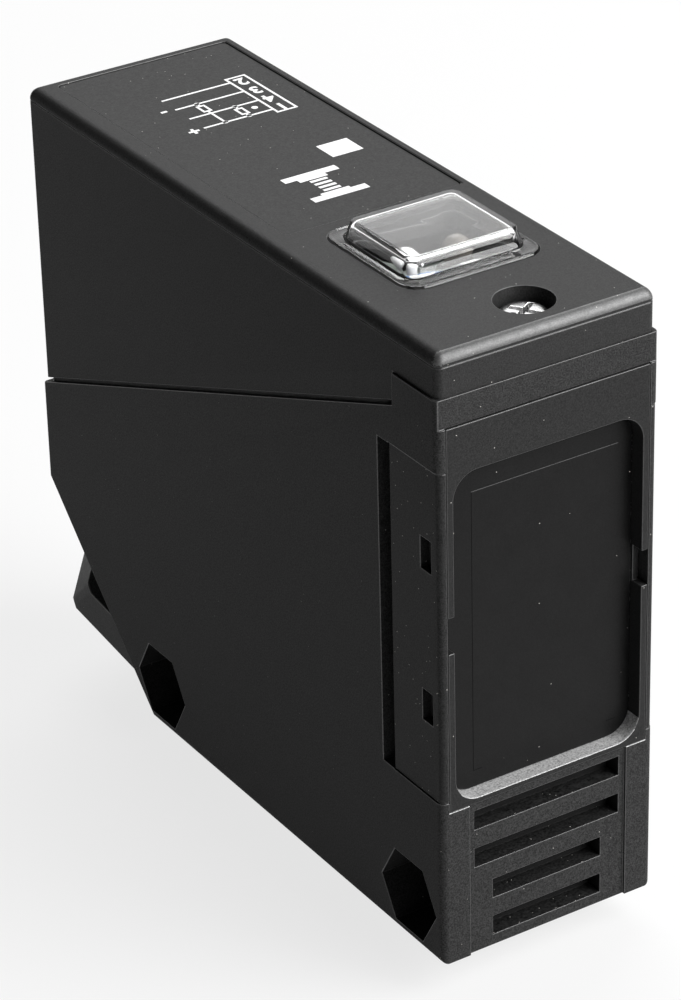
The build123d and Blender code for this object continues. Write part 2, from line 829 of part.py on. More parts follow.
pot_place = (hood_x - 3.5, hood_from_front - 3.3)
pot_size = 5.0
pot_height = 2.6
rotor_radius = 1.7
rotor_sink = 1.6
rotor_stand = 0.6                 # how far the rotor stands out of its body
rotor_slot = (2.6, 0.55, 0.7)     # length, width, depth
rotor_arrow = 0.9
rotor_arrow_place = (0.75, 0.45)
with BuildPart() as potentiometer:
    with BuildSketch(level_plane(display_top)):
        with Locations(pot_place):
            Rectangle(pot_size, pot_size)
    extrude(amount=pot_height)
    with BuildSketch(level_plane(display_top + pot_height)):
        with Locations(pot_place):
            Circle(rotor_radius + fit)
    extrude(amount=-rotor_sink, mode=Mode.SUBTRACT)
finish(potentiometer, "potentiometer")

with BuildPart() as sensitivity_rotor:
    with BuildSketch(level_plane(display_top + pot_height - rotor_sink)):
        with Locations(pot_place):
            Circle(rotor_radius)
    extrude(amount=rotor_sink + rotor_stand)
    with BuildSketch(level_plane(display_top + pot_height + rotor_stand)):
        with Locations(pot_place):
            Rectangle(rotor_slot[0], rotor_slot[1])
            with Locations(rotor_arrow_place):
                Triangle(a=rotor_arrow, B=60, C=60)
    extrude(amount=-rotor_slot[2], mode=Mode.SUBTRACT)
finish(sensitivity_rotor, "sensitivity_rotor")

switch_place = (hood_x + 3.3, hood_from_front - 3.7)
switch_size = (7.0, 3.6)
switch_height = 2.4
switch_travel = 2.0
knob_size = 1.8
knob_sink = 1.2
knob_stand = 1.0
knob_room = 0.06
knob_line = 0.15
knob_line_pitch = 0.45
knob_x = switch_place[0] - switch_travel / 2
with BuildPart() as mode_switch:
    with BuildSketch(level_plane(display_top)):
        with Locations(switch_place):
            Rectangle(*switch_size)
    extrude(amount=switch_height)
    with BuildSketch(level_plane(display_top + switch_height)):
        with Locations(switch_place):
            Rectangle(knob_size + switch_travel + loose, knob_size + 2 * knob_room)
    extrude(amount=-knob_sink, mode=Mode.SUBTRACT)
finish(mode_switch, "mode_switch")

with BuildPart() as mode_slider:
    with BuildSketch(level_plane(display_top + switch_height - knob_sink)):
        with Locations((knob_x, switch_place[1])):
            Rectangle(knob_size, knob_size)
    extrude(amount=knob_sink + knob_stand)
    with BuildSketch(level_plane(display_top + switch_height + knob_stand)):
        with Locations((knob_x, switch_place[1])):
            with GridLocations(knob_line_pitch, knob_size, 3, 1):
                Rectangle(knob_line, knob_size)
    extrude(amount=-knob_line, mode=Mode.SUBTRACT)
finish(mode_slider, "mode_slider")

# ---------------------------------------------------------------- terminal block
cell_roof = 1.9
head_room = 0.1
head_height = 1.4
head_slot = (0.6, 0.8)            # width, depth
head_radius = cell_width / 2 - 0.25
head_hole_radius = head_radius - 0.25
shank_radius = head_radius - 0.6
cage_travel = 2.0
cage_floor = 0.8
cage_roof = 1.0
cage_side = 0.5
cage_bottom = terminal_bottom + 1.4
entry_radius = cell_width / 2 - 0.6
block_edge = 0.6
terminal_top = terminal_bottom + terminal_height
head_underside = terminal_top - cell_roof - head_room - head_height
cage_width = cell_width - loose
cage_height = head_underside - cage_bottom - cage_travel - loose

with BuildPart() as terminal_block:
    with BuildSketch(level_plane(terminal_bottom)):
        with Locations((0, terminal_front + terminal_depth / 2)):
            Rectangle(2 * (chamber_half - loose), terminal_depth)
    extrude(amount=terminal_height)
    with BuildSketch(level_plane(terminal_bottom)):
        with Locations(*[(x, cell_middle) for x in cell_xs]):
            Rectangle(cell_width, cell_length)
    extrude(amount=terminal_height - cell_roof, mode=Mode.SUBTRACT)
    with BuildSketch(level_plane(terminal_bottom)):
        with Locations(*[(x, cell_middle) for x in cell_xs]):
            Circle(head_hole_radius)
    extrude(amount=terminal_height, mode=Mode.SUBTRACT)
    # wire entries towards the gland, and the slots that the contact strips pass
    with BuildSketch(front_plane(terminal_back)):
        with Locations(*[(x, strip_height - entry_radius) for x in cell_xs]):
            Circle(entry_radius)
    extrude(amount=terminal_back - cell_middle, mode=Mode.SUBTRACT)
    with BuildSketch(front_plane(terminal_front)):
        with Locations(*[(x, strip_middle) for x in cell_xs]):
            Rectangle(strip_width, strip_thickness)
    extrude(amount=-cell_from_front, mode=Mode.SUBTRACT)
    chamfer(terminal_block.edges().filter_by(Axis.X).group_by(Axis.Z)[-1], length=block_edge)
finish(terminal_block, "terminal_block")

strip_past_middle = 1.5
strip_length = cell_middle + strip_past_middle - terminal_board_front
with BuildPart() as contact_strips:
    with BuildSketch(level_plane(strip_height)):
        with Locations(*[(x, terminal_board_front + strip_length / 2) for x in cell_xs]):
            Rectangle(strip_width, strip_length)
    extrude(amount=strip_thickness)
finish(contact_strips, "contact_strips")

for number, x in enumerate(cell_xs, start=1):
    with BuildPart() as terminal_screw:
        with BuildSketch(level_plane(head_underside)):
            with Locations((x, cell_middle)):
                Circle(head_radius)
        extrude(amount=head_height)
        with BuildSketch(level_plane(head_underside)):
            with Locations((x, cell_middle)):
                Circle(shank_radius)
        extrude(amount=-(head_underside - strip_height - strip_thickness - head_room))
        with BuildSketch(level_plane(head_underside + head_height)):
            with Locations((x, cell_middle)):
                Rectangle(2 * head_radius, head_slot[0])
        extrude(amount=-head_slot[1], mode=Mode.SUBTRACT)
    finish(terminal_screw, f"terminal_screw_{number}")
    with BuildPart() as wire_cage:
        with BuildSketch(level_plane(cage_bottom)):
            with Locations((x, cell_middle)):
                Rectangle(cage_width, cell_length - loose)
        extrude(amount=cage_height)
        with BuildSketch(level_plane(cage_bottom + cage_floor)):
            with Locations((x, cell_middle)):
                Rectangle(cage_width - 2 * cage_side, cell_length + cut_over)
        extrude(amount=cage_height - cage_floor - cage_roof, mode=Mode.SUBTRACT)
        with BuildSketch(level_plane(cage_bottom + cage_height)):
            with Locations((x, cell_middle)):
                Circle(shank_radius + thread_room)
        extrude(amount=-cage_roof, mode=Mode.SUBTRACT)
    finish(wire_cage, f"wire_cage_{number}")

# -------------------------------------------------------------------------- lid
parting_line = (0.12, 0.08)       # height, depth
parting_below_edge = 0.25
with BuildPart() as lid:
    with BuildSketch(Plane.YZ):
        with BuildLine():
            Polyline(
                at(lid_front, front_joint_height),
                at(lid_step, front_joint_height),
                at(lid_step, joint_height(lid_step) + joint_gap),
                at(lid_back, joint_height(lid_back) + joint_gap),
                at(lid_back, height),
                at(lid_front, height),
                close=True,
            )
        make_face()
    extrude(amount=lid_half, both=True)
    corners = lid.edges().filter_by(Axis.Z).filter_by(
        lambda e: e.length > lid_front_height - 0.1 and abs(e.center().X) > lid_half - 0.01
    )
    fillet(corners, radius=corner_radius)
    fillet(lid.faces().sort_by(Axis.Z)[-1].edges(), radius=lid_edge_radius)

    with BuildSketch(Plane.YZ):
        with BuildLine():
            Polyline(
                at(lid_inside_front, height - lid_wall),
                at(lid_back - lid_wall, height - lid_wall),
                at(lid_back - lid_wall, 0),
                at(lid_inside_front, 0),
                close=True,
            )
        make_face()
    extrude(amount=lid_inner_half, both=True, mode=Mode.SUBTRACT)

    # fine mould parting line round the top
    with BuildSketch(level_plane(height - lid_edge_radius - parting_below_edge)):
        with Locations((0, depth / 2)):
            Rectangle(width + cut_over, depth + cut_over)
            RectangleRounded(
                2 * (lid_half - parting_line[1]),
                lid_back - lid_front - 2 * parting_line[1],
                corner_radius,
                mode=Mode.SUBTRACT,
            )
    extrude(amount=parting_line[0], mode=Mode.SUBTRACT)

    # hood opening and the seat of its flange
    with BuildSketch(level_plane(height)):
        with Locations((hood_x, hood_from_front)):
            RectangleRounded(
                hood_base[0] - 2 * hood_ledge,
                hood_base[1] - 2 * hood_ledge,
                hood_radius - hood_ledge + loose,
            )
    extrude(amount=-(lid_wall + cut_over), mode=Mode.SUBTRACT)
    with BuildSketch(level_plane(height)):
        with Locations((hood_x, hood_from_front)):
            RectangleRounded(hood_flange + 2 * fit, hood_flange + 2 * fit, hood_flange_radius)
    extrude(amount=-hood_flange_thickness, mode=Mode.SUBTRACT)

    # counterbored hole of the captive screw, and the label's seat
    with Locations((screw_x, front + screw_from_front, lid_top)):
        CounterBoreHole(
            screw_radius + hole_room,
            screw_head_radius + screw_bore_room,
            lid_front_height - screw_web,
            height,
        )
    with BuildSketch(level_plane(front_joint_height)):
        with Locations((screw_x, screw_from_front)):
            Circle(retainer_radius + 2 * fit)
    extrude(amount=retainer_thickness + fit, mode=Mode.SUBTRACT)
    with BuildSketch(level_plane(height)):
        with Locations((label_x, label_middle)):
            RectangleRounded(
                label_width + 2 * label_sink, label_length + 2 * label_sink, lid_edge_radius / 2
            )
    extrude(amount=-(label_thickness + label_sink), mode=Mode.SUBTRACT)
finish(lid, "lid")

with BuildPart() as lid_gasket:
    with BuildSketch(slope_plane(-seal_sink)):
        with Locations((0, seal_middle)):
            RectangleRounded(2 * seal_half, seal_length, seal_radius)
            RectangleRounded(
                2 * (seal_half - seal_width),
                seal_length - 2 * seal_width,
                seal_radius - seal_width,
                mode=Mode.SUBTRACT,
            )
    extrude(amount=seal_sink + joint_gap * cos(radians(joint_angle)) - fit)
finish(lid_gasket, "lid_gasket")

hood_edge_radius = 0.5
hood_inside_draft = 19.2
with BuildPart() as hood_window:
    with BuildSketch(level_plane(height - hood_flange_thickness)):
        with Locations((hood_x, hood_from_front)):
            RectangleRounded(hood_flange, hood_flange, hood_flange_radius - fit)
    extrude(amount=hood_flange_thickness)
    with BuildSketch(level_plane(height)):
        with Locations((hood_x, hood_from_front)):
            RectangleRounded(hood_base[0], hood_base[1], hood_radius)
    extrude(amount=hood_rise, taper=hood_draft)
    fillet(hood_window.faces().sort_by(Axis.Z)[-1].edges(), radius=hood_edge_radius)
    with BuildSketch(level_plane(height - hood_flange_thickness)):
        with Locations((hood_x, hood_from_front)):
            RectangleRounded(
                hood_base[0] - 2 * hood_wall,
                hood_base[1] - 2 * hood_wall,
                hood_radius - hood_wall + 2 * loose,
            )
    extrude(
        amount=hood_flange_thickness + hood_rise - hood_wall,
        taper=hood_inside_draft,
        mode=Mode.SUBTRACT,
    )
finish(hood_window, "hood_window")

with BuildPart() as label_plate:
    with BuildSketch(level_plane(height - label_thickness - label_sink)):
        with Locations((label_x, label_middle)):
            RectangleRounded(label_width, label_length, lid_edge_radius / 2 - fit)
    extrude(amount=label_thickness)
finish(label_plate, "label_plate")

head_edge_radius = 1.2
screw_point = 0.4
cross_recess = (3.2, 0.62, 1.4)   # length, width, depth
cross_turn = 30.0
cross_draft = 8.0
with BuildPart() as lid_screw:
    with BuildSketch(level_plane(seat_height)):
        with Locations((screw_x, screw_from_front)):
            Circle(screw_head_radius)
    extrude(amount=screw_head_height)
    fillet(lid_screw.faces().sort_by(Axis.Z)[-1].edges(), radius=head_edge_radius)
    with BuildSketch(level_plane(seat_height)):
        with Locations((screw_x, screw_from_front)):
            Circle(screw_radius)
    extrude(amount=screw_tip - seat_height)
    chamfer(lid_screw.faces().sort_by(Axis.Z)[0].edges(), length=screw_point)
    with BuildSketch(level_plane(seat_height + screw_head_height)):
        with Locations((screw_x, screw_from_front)):
            with Locations(Rotation(0, 0, cross_turn)):
                Rectangle(cross_recess[0], cross_recess[1])
                Rectangle(cross_recess[1], cross_recess[0])
    extrude(amount=-cross_recess[2], taper=cross_draft, mode=Mode.SUBTRACT)
finish(lid_screw, "lid_screw")

with BuildPart() as screw_retainer:
    with BuildSketch(level_plane(front_joint_height + fit)):
        with Locations((screw_x, screw_from_front)):
            Circle(retainer_radius)
            Circle(screw_radius + thread_room, mode=Mode.SUBTRACT)
    extrude(amount=retainer_thickness)
finish(screw_retainer, "screw_retainer")

with BuildPart() as thread_insert:
    with BuildSketch(level_plane(screw_tip - insert_below_tip)):
        with Locations((screw_x, screw_from_front)):
            Circle(insert_radius)
            Circle(screw_radius + thread_room, mode=Mode.SUBTRACT)
    extrude(amount=insert_length)
finish(thread_insert, "thread_insert")

# ------------------------------------------------------------------ cable gland
o_ring_height = 0.6
o_ring_inset = 0.35
with BuildPart() as gland_body:
    with BuildSketch(gland_plane(0)):
        Circle(gland_thread_radius)
    extrude(amount=-(wall + gland_wall))
    with BuildSketch(gland_plane(0)):
        Circle(gland_collar_radius)
    extrude(amount=gland_collar_thickness)
    with BuildSketch(gland_plane(gland_collar_thickness)):
        Circle(gland_neck_radius)
    extrude(amount=gland_end - gland_collar_thickness)
    with BuildSketch(gland_plane(gland_end)):
        Circle(grommet_radius)
    extrude(amount=-(gland_end - seal_seat), mode=Mode.SUBTRACT)
    with BuildSketch(gland_plane(seal_seat)):
        Circle(cable_radius + cable_room)
    extrude(amount=-(seal_seat + wall + gland_wall), mode=Mode.SUBTRACT)
    with BuildSketch(gland_plane(0)):
        Circle(gland_collar_radius - o_ring_inset + fit)
        Circle(gland_thread_radius, mode=Mode.SUBTRACT)
    extrude(amount=o_ring_height, mode=Mode.SUBTRACT)
finish(gland_body, "gland_body")

with BuildPart() as gland_o_ring:
    with BuildSketch(gland_plane(0)):
        Circle(gland_collar_radius - o_ring_inset)
        Circle(gland_thread_radius, mode=Mode.SUBTRACT)
    extrude(amount=o_ring_height)
finish(gland_o_ring, "gland_o_ring")

with BuildPart() as gland_grommet:
    with BuildSketch(gland_plane(seal_seat)):
        Circle(grommet_radius)
        Circle(cable_radius, mode=Mode.SUBTRACT)
    extrude(amount=gland_end - seal_seat)
finish(gland_grommet, "gland_grommet")

nut_corner_radius = gland_flats / 2 / cos(radians(30)) - nut_corner_cut
nut_cap_radius = gland_flats / 2 - nut_cone_step
with BuildPart() as gland_nut:
    with BuildSketch(gland_plane(nut_start)):
        RegularPolygon(gland_flats / 2, 6, major_radius=False, rotation=gland_turn)
    extrude(amount=nut_hex_length)
    # corners turned off round the hexagon
    with BuildSketch(gland_plane(nut_start)):
        Circle(nut_corner_radius)
    extrude(amount=nut_hex_length, mode=Mode.INTERSECT)
    with BuildSketch(gland_plane(nut_start + nut_hex_length)):
        Circle(nut_cap_radius)
    extrude(amount=nut_cone_length, taper=nut_cone_draft)
    with BuildSketch(gland_plane(nut_start)):
        Circle(gland_neck_radius + fit)
    extrude(amount=gland_end + 2 * fit - nut_start, mode=Mode.SUBTRACT)
    with BuildSketch(gland_plane(nut_start)):
        Circle(cable_radius + cable_room - 2 * fit)
    extrude(amount=nut_hex_length + nut_cone_length, mode=Mode.SUBTRACT)
finish(gland_nut, "gland_nut")

whole = Compound(children=pieces)
print(len(pieces), "pieces, overall", whole.bounding_box().size)
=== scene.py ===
# %% [markdown]
# # A photoelectric sensor, dressed for the studio
#
# The sensor is a black moulded block with a dark window, a wedge-shaped lid, a clear hood over its
# indicators and a cable gland at the back. Its solid pieces come in as a fixed frame, in metres. Each
# step below gives a piece its edges, its finish or its small detail, and says why it is made that
# way.

import json
from math import cos, pi, radians, sin, tan

import bmesh
import bpy
from mathutils import Matrix, Vector


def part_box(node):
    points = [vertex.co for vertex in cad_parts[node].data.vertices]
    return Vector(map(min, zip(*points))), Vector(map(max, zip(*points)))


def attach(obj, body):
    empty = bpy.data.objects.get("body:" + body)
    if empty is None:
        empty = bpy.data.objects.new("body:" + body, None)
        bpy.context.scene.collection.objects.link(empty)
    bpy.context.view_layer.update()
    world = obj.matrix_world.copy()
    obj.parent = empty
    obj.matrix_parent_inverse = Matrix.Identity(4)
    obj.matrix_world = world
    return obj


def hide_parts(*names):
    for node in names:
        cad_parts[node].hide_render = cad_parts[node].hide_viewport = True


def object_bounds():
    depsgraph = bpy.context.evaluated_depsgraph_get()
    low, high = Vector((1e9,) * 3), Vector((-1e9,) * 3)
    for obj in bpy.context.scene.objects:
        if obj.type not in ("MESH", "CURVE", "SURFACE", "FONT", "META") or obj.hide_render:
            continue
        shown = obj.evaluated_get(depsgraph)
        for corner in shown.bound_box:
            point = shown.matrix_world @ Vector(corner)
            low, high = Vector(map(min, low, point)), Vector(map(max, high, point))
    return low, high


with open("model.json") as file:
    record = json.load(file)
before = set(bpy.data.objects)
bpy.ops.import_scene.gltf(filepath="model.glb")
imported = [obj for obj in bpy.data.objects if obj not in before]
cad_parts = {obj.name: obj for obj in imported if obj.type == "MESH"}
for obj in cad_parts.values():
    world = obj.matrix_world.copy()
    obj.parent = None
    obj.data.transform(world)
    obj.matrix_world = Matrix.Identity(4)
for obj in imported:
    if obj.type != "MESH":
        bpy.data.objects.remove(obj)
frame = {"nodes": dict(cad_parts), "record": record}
cad_low, cad_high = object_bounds()
MM = 0.001
body_of = {
    node: body
    for body, members in frame["record"]["behaviour"]["bodies"].items()
    for node in members
}
print(len(frame["nodes"]), "nodes; box in mm", [round(v / MM, 2) for v in (*cad_low, *cad_high)])

# %% [markdown]
# ## Small helpers for shader trees
#
# A finish is a tree of nodes. Writing every node and link by hand hides the idea, so one helper adds
# a node with its values and another joins sockets by name. They are used for groups and materials
# alike.


# %% Node helpers
def add_node(tree, kind, **values):
    """A node of that kind; a value is one of its properties or, with the same name, an input."""
    node = tree.nodes.new(kind)
    for key, value in values.items():
        if hasattr(node, key):
            setattr(node, key, value)
        else:
            node.inputs[key.replace("_", " ")].default_value = value
    return node


def join(tree, source, target):
    """Links (node, socket) to (node, socket)."""
    tree.links.new(source[0].outputs[source[1]], target[0].inputs[target[1]])


def new_group(name, inputs, outputs):
    """A shader group with float inputs and outputs, or a colour where the name says Colour."""
    tree = bpy.data.node_groups.new(name, "ShaderNodeTree")
    for label, value in inputs.items():
        kind = "NodeSocketColor" if "Colour" in label else "NodeSocketFloat"
        socket = tree.interface.new_socket(label, in_out="INPUT", socket_type=kind)
        socket.default_value = value
    for label in outputs:
        kind = "NodeSocketColor" if "Colour" in label else "NodeSocketFloat"
        tree.interface.new_socket(label, in_out="OUTPUT", socket_type=kind)
    return tree, tree.nodes.new("NodeGroupInput"), tree.nodes.new("NodeGroupOutput")


# %% [markdown]
# ## The skin of moulded plastic
#
# Injection-moulded black plastic isn't one black. The spark-eroded mould leaves a grain of one or two
# tenths of a millimetre, and the filler gives a softer mottle about three times as wide. Both are
# made from noise in object coordinates, so the grain has the same size on every piece. The group
# gives a colour that wanders between two blacks, a roughness that follows the mottle, and a height
# for a Bump node.

# %% Group: moulded skin
GRAIN_SHARE = 0.8
TINT_RANGE = (0.34, 0.66)
GLOSS_RANGE = (0.3, 0.7)


def build_moulded_skin():
    tree, given, result = new_group(
        "moulded_skin",
        {
            "Deep Colour": (0.01, 0.01, 0.01, 1),
            "Pale Colour": (0.03, 0.03, 0.03, 1),
            "Grain per metre": 5200.0,
            "Mottle per metre": 900.0,
            "Smooth": 0.4,
            "Rough": 0.6,
        },
        ["Colour", "Roughness", "Height"],
    )
    place = add_node(tree, "ShaderNodeTexCoord")
    grain = add_node(tree, "ShaderNodeTexNoise", Detail=2.0, Roughness=0.55)
    mottle = add_node(tree, "ShaderNodeTexNoise", Detail=3.0, Roughness=0.6)
    for noise, size in ((grain, "Grain per metre"), (mottle, "Mottle per metre")):
        join(tree, (place, "Object"), (noise, "Vector"))
        join(tree, (given, size), (noise, "Scale"))
    both = add_node(tree, "ShaderNodeMath", operation="MULTIPLY_ADD")
    both.inputs[1].default_value = GRAIN_SHARE
    join(tree, (grain, 0), (both, 0))
    rest = add_node(tree, "ShaderNodeMath", operation="MULTIPLY")
    rest.inputs[1].default_value = 1 - GRAIN_SHARE
    join(tree, (mottle, 0), (rest, 0))
    join(tree, (rest, 0), (both, 2))
    spread = add_node(tree, "ShaderNodeMapRange", From_Min=TINT_RANGE[0], From_Max=TINT_RANGE[1])
    join(tree, (both, 0), (spread, "Value"))
    tint = add_node(tree, "ShaderNodeMix", data_type="RGBA")
    join(tree, (spread, "Result"), (tint, 0))
    tree.links.new(given.outputs["Deep Colour"], tint.inputs[6])
    tree.links.new(given.outputs["Pale Colour"], tint.inputs[7])
    tree.links.new(tint.outputs[2], result.inputs["Colour"])
    gloss = add_node(tree, "ShaderNodeMapRange", From_Min=GLOSS_RANGE[0], From_Max=GLOSS_RANGE[1])
    join(tree, (mottle, 0), (gloss, "Value"))
    join(tree, (given, "Smooth"), (gloss, "To Min"))
    join(tree, (given, "Rough"), (gloss, "To Max"))
    join(tree, (gloss, "Result"), (result, "Roughness"))
    join(tree, (grain, 0), (result, "Height"))
    return tree


moulded_skin = build_moulded_skin()
print("group", moulded_skin.name, "with", len(moulded_skin.nodes), "nodes")

# %% [markdown]
# ## Dust
#
# A handled black part always carries a few bright specks. Voronoi cells 0.7 mm wide give at most one
# speck each, a random number per cell keeps only some of them, and the distance to the cell's point
# cuts a dot of about a tenth of a millimetre. The group only puts out that mask.


# %% Group: dust specks
def build_dust_specks():
    tree, given, result = new_group(
        "dust_specks",
        {"Cells per metre": 1400.0, "Radius": 0.08, "Kept": 0.1},
        ["Mask"],
    )
    place = add_node(tree, "ShaderNodeTexCoord")
    cells = add_node(tree, "ShaderNodeTexVoronoi")
    join(tree, (place, "Object"), (cells, "Vector"))
    join(tree, (given, "Cells per metre"), (cells, "Scale"))
    dot = add_node(tree, "ShaderNodeMath", operation="LESS_THAN")
    join(tree, (cells, "Distance"), (dot, 0))
    join(tree, (given, "Radius"), (dot, 1))
    pick = add_node(tree, "ShaderNodeSeparateColor")
    tree.links.new(cells.outputs["Color"], pick.inputs[0])
    keep = add_node(tree, "ShaderNodeMath", operation="LESS_THAN")
    join(tree, (pick, 0), (keep, 0))
    join(tree, (given, "Kept"), (keep, 1))
    mask = add_node(tree, "ShaderNodeMath", operation="MULTIPLY")
    join(tree, (dot, 0), (mask, 0))
    join(tree, (keep, 0), (mask, 1))
    join(tree, (mask, 0), (result, "Mask"))
    return tree


dust_specks = build_dust_specks()
print("group", dust_specks.name, "with", len(dust_specks.nodes), "nodes")

# %% [markdown]
# ## One recipe for every solid finish
#
# Plastics, rubber, board lacquer and metal all share the same tree: the skin group feeds colour,
# roughness and a small bump, and dust is laid on top where it would show. What differs is values, so
# one function makes them all. Values that are the same all over stay on the shader's own sockets.

# %% Finish recipe
GRAIN_DEPTH = 0.02 * MM
DUST_COLOUR = (0.35, 0.34, 0.32, 1)


def make_finish(
    name,
    deep,
    pale,
    rough=(0.45, 0.62),
    grain=6500.0,
    mottle=2000.0,
    bump=0.25,
    dust=0.0,
    metallic=0.0,
    specular=0.5,
):
    """A material whose colour wanders from deep to pale and whose gloss follows its grain."""
    material = bpy.data.materials.new(name)
    material.use_nodes = True
    tree = material.node_tree
    shader = tree.nodes["Principled BSDF"]
    skin = add_node(tree, "ShaderNodeGroup", node_tree=moulded_skin)
    skin.inputs["Deep Colour"].default_value = (*deep, 1)
    skin.inputs["Pale Colour"].default_value = (*pale, 1)
    skin.inputs["Grain per metre"].default_value = grain
    skin.inputs["Mottle per metre"].default_value = mottle
    skin.inputs["Smooth"].default_value = rough[0]
    skin.inputs["Rough"].default_value = rough[1]
    colour = (skin, "Colour")
    if dust:
        specks = add_node(tree, "ShaderNodeGroup", node_tree=dust_specks)
        specks.inputs["Kept"].default_value = dust
        laid = add_node(tree, "ShaderNodeMix", data_type="RGBA")
        join(tree, (specks, "Mask"), (laid, 0))
        tree.links.new(skin.outputs["Colour"], laid.inputs[6])
        laid.inputs[7].default_value = DUST_COLOUR
        colour = (laid, 2)
    join(tree, colour, (shader, "Base Color"))
    join(tree, (skin, "Roughness"), (shader, "Roughness"))
    relief = add_node(tree, "ShaderNodeBump", Strength=bump, Distance=GRAIN_DEPTH)
    join(tree, (skin, "Height"), (relief, "Height"))
    join(tree, (relief, "Normal"), (shader, "Normal"))
    shader.inputs["Metallic"].default_value = metallic
    shader.inputs["Specular IOR Level"].default_value = specular
    return material


def grey(low, high):
    """Two neutral colours for a finish."""
    return (low,) * 3, (high,) * 3


# %% [markdown]
# ## The black plastics
#
# Housing, cover, frame, lid and gland come from different moulds and batches, so their blacks differ
# a little. Each also has a second, smoother finish for its edges, where a mould is polished and hands
# rub, and its colour is painted 1.6 times paler as a painted highlight, so those narrow faces catch the
# lamps as fine bright lines.

# %% Black plastics
black_plastics = {}
for label, low, high, rough, dust, specular in (
    ("housing", 0.009, 0.040, (0.48, 0.60), 0.12, 0.05),
    ("cover", 0.009, 0.022, (0.46, 0.58), 0.10, 0.1),
    ("snap_frame", 0.009, 0.034, (0.44, 0.56), 0.2, 0.05),
    ("lid", 0.010, 0.028, (0.42, 0.54), 0.2, 0.12),
    ("gland", 0.012, 0.036, (0.42, 0.54), 0.06, 0.1),
    ("optics", 0.006, 0.010, (0.70, 0.85), 0.0, 0.1),
):
    face = make_finish(
        f"black_{label}_plastic_finish", *grey(low, high), rough=rough, dust=dust, specular=specular
    )
    # Painted highlight: the edge finish's colours are 1.6 times paler than the face's.
    edge = make_finish(
        f"black_{label}_edge_highlight_finish", *grey(low * 1.6, high * 1.6), rough=(0.26, 0.38), bump=0.1,
        specular=0.55,
    )
    black_plastics[label] = (face, edge)
print(len(black_plastics), "black plastics, each with an edge finish")

# %% [markdown]
# ## Crisp moulded edges
#
# A CAD edge is infinitely sharp and never catches light. A real one has a radius of a tenth of a
# millimetre. The frame's own meshes stay as they are, so each large piece gets a copy: its loose
# triangles are merged, flat areas are joined into single faces, and a Bevel modifier rounds what is
# sharper than 35 degrees. The modifier also puts the new narrow faces in the second material slot.

# %% Edge helper
MERGE_DISTANCE = 2e-6
FLAT_ANGLE = radians(0.4)
SHARP_ANGLE = radians(35)


def plain_mesh_object(name, mesh):
    """A mesh object at the origin, in the scene."""
    piece = bpy.data.objects.new(name, mesh)
    bpy.context.scene.collection.objects.link(piece)
    return piece


def merged_copy(node, name):
    """A copy of a frame node with its triangles merged and its flat areas joined."""
    mesh = frame["nodes"][node].data.copy()
    mesh.name = name
    if "custom_normal" in mesh.attributes:
        mesh.attributes.remove(mesh.attributes["custom_normal"])
    shape = bmesh.new()
    shape.from_mesh(mesh)
    bmesh.ops.remove_doubles(shape, verts=shape.verts, dist=MERGE_DISTANCE)
    bmesh.ops.dissolve_limit(
        shape, angle_limit=FLAT_ANGLE, verts=shape.verts, edges=shape.edges
    )
    shape.to_mesh(mesh)
    shape.free()
    mesh.materials.clear()
    mesh.shade_smooth()
    mesh.set_sharp_from_angle(angle=SHARP_ANGLE)
    return plain_mesh_object(name, mesh)


def round_edges(piece, width, face, edge):
    """Rounds sharp edges with a Bevel modifier and leaves the result as a plain mesh."""
    piece.data.materials.append(face)
    piece.data.materials.append(edge)
    bevel = piece.modifiers.new("moulded_edges", "BEVEL")
    bevel.width = width
    bevel.segments = 2
    bevel.limit_method = "ANGLE"
    bevel.angle_limit = SHARP_ANGLE
    bevel.material = 1
    bevel.use_clamp_overlap = False
    bevel.harden_normals = True
    depsgraph = bpy.context.evaluated_depsgraph_get()
    rounded = bpy.data.meshes.new_from_object(piece.evaluated_get(depsgraph))
    piece.modifiers.clear()
    old, piece.data = piece.data, rounded
    name = old.name
    bpy.data.meshes.remove(old)
    rounded.name = name


def stand_for(piece, node):
    """The piece rides where the node rides, and stands for it."""
    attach(piece, body_of[node])
    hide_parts(node)
    print(f"{piece.name}: {len(piece.data.polygons)} faces, rides on {body_of[node]}")
    return piece


def refinish(piece, finish, chosen):
    """Gives the finish to the faces that the test picks."""
    piece.data.materials.append(finish)
    picked = [face for face in piece.data.polygons if chosen(face)]
    for face in picked:
        face.material_index = len(piece.data.materials) - 1
    print(f"{piece.name}: {len(picked)} faces get {finish.name}")


# %% [markdown]
# ## The big mouldings
#
# The big mouldings share the helper above: housing, cover, frame and lid, then the gland with its nut
# and the optics block behind the window. The lid has the crispest edges, and the gland nut, which
# takes a spanner, the roundest.

# %% Big mouldings
mouldings = {}
for node, name, label, width in (
    ("housing", "housing_moulding", "housing", 0.08),
    ("front_cover", "front_cover_moulding", "cover", 0.09),
    ("snap_frame", "snap_frame_moulding", "snap_frame", 0.08),
    ("lid", "lid_moulding", "lid", 0.06),
    ("gland_body", "gland_body_moulding", "gland", 0.1),
    ("gland_nut", "gland_nut_moulding", "gland", 0.16),
    ("optics_block", "optics_block_moulding", "optics", 0.08),
):
    piece = merged_copy(node, name)
    round_edges(piece, width * MM, *black_plastics[label])
    mouldings[node] = stand_for(piece, node)
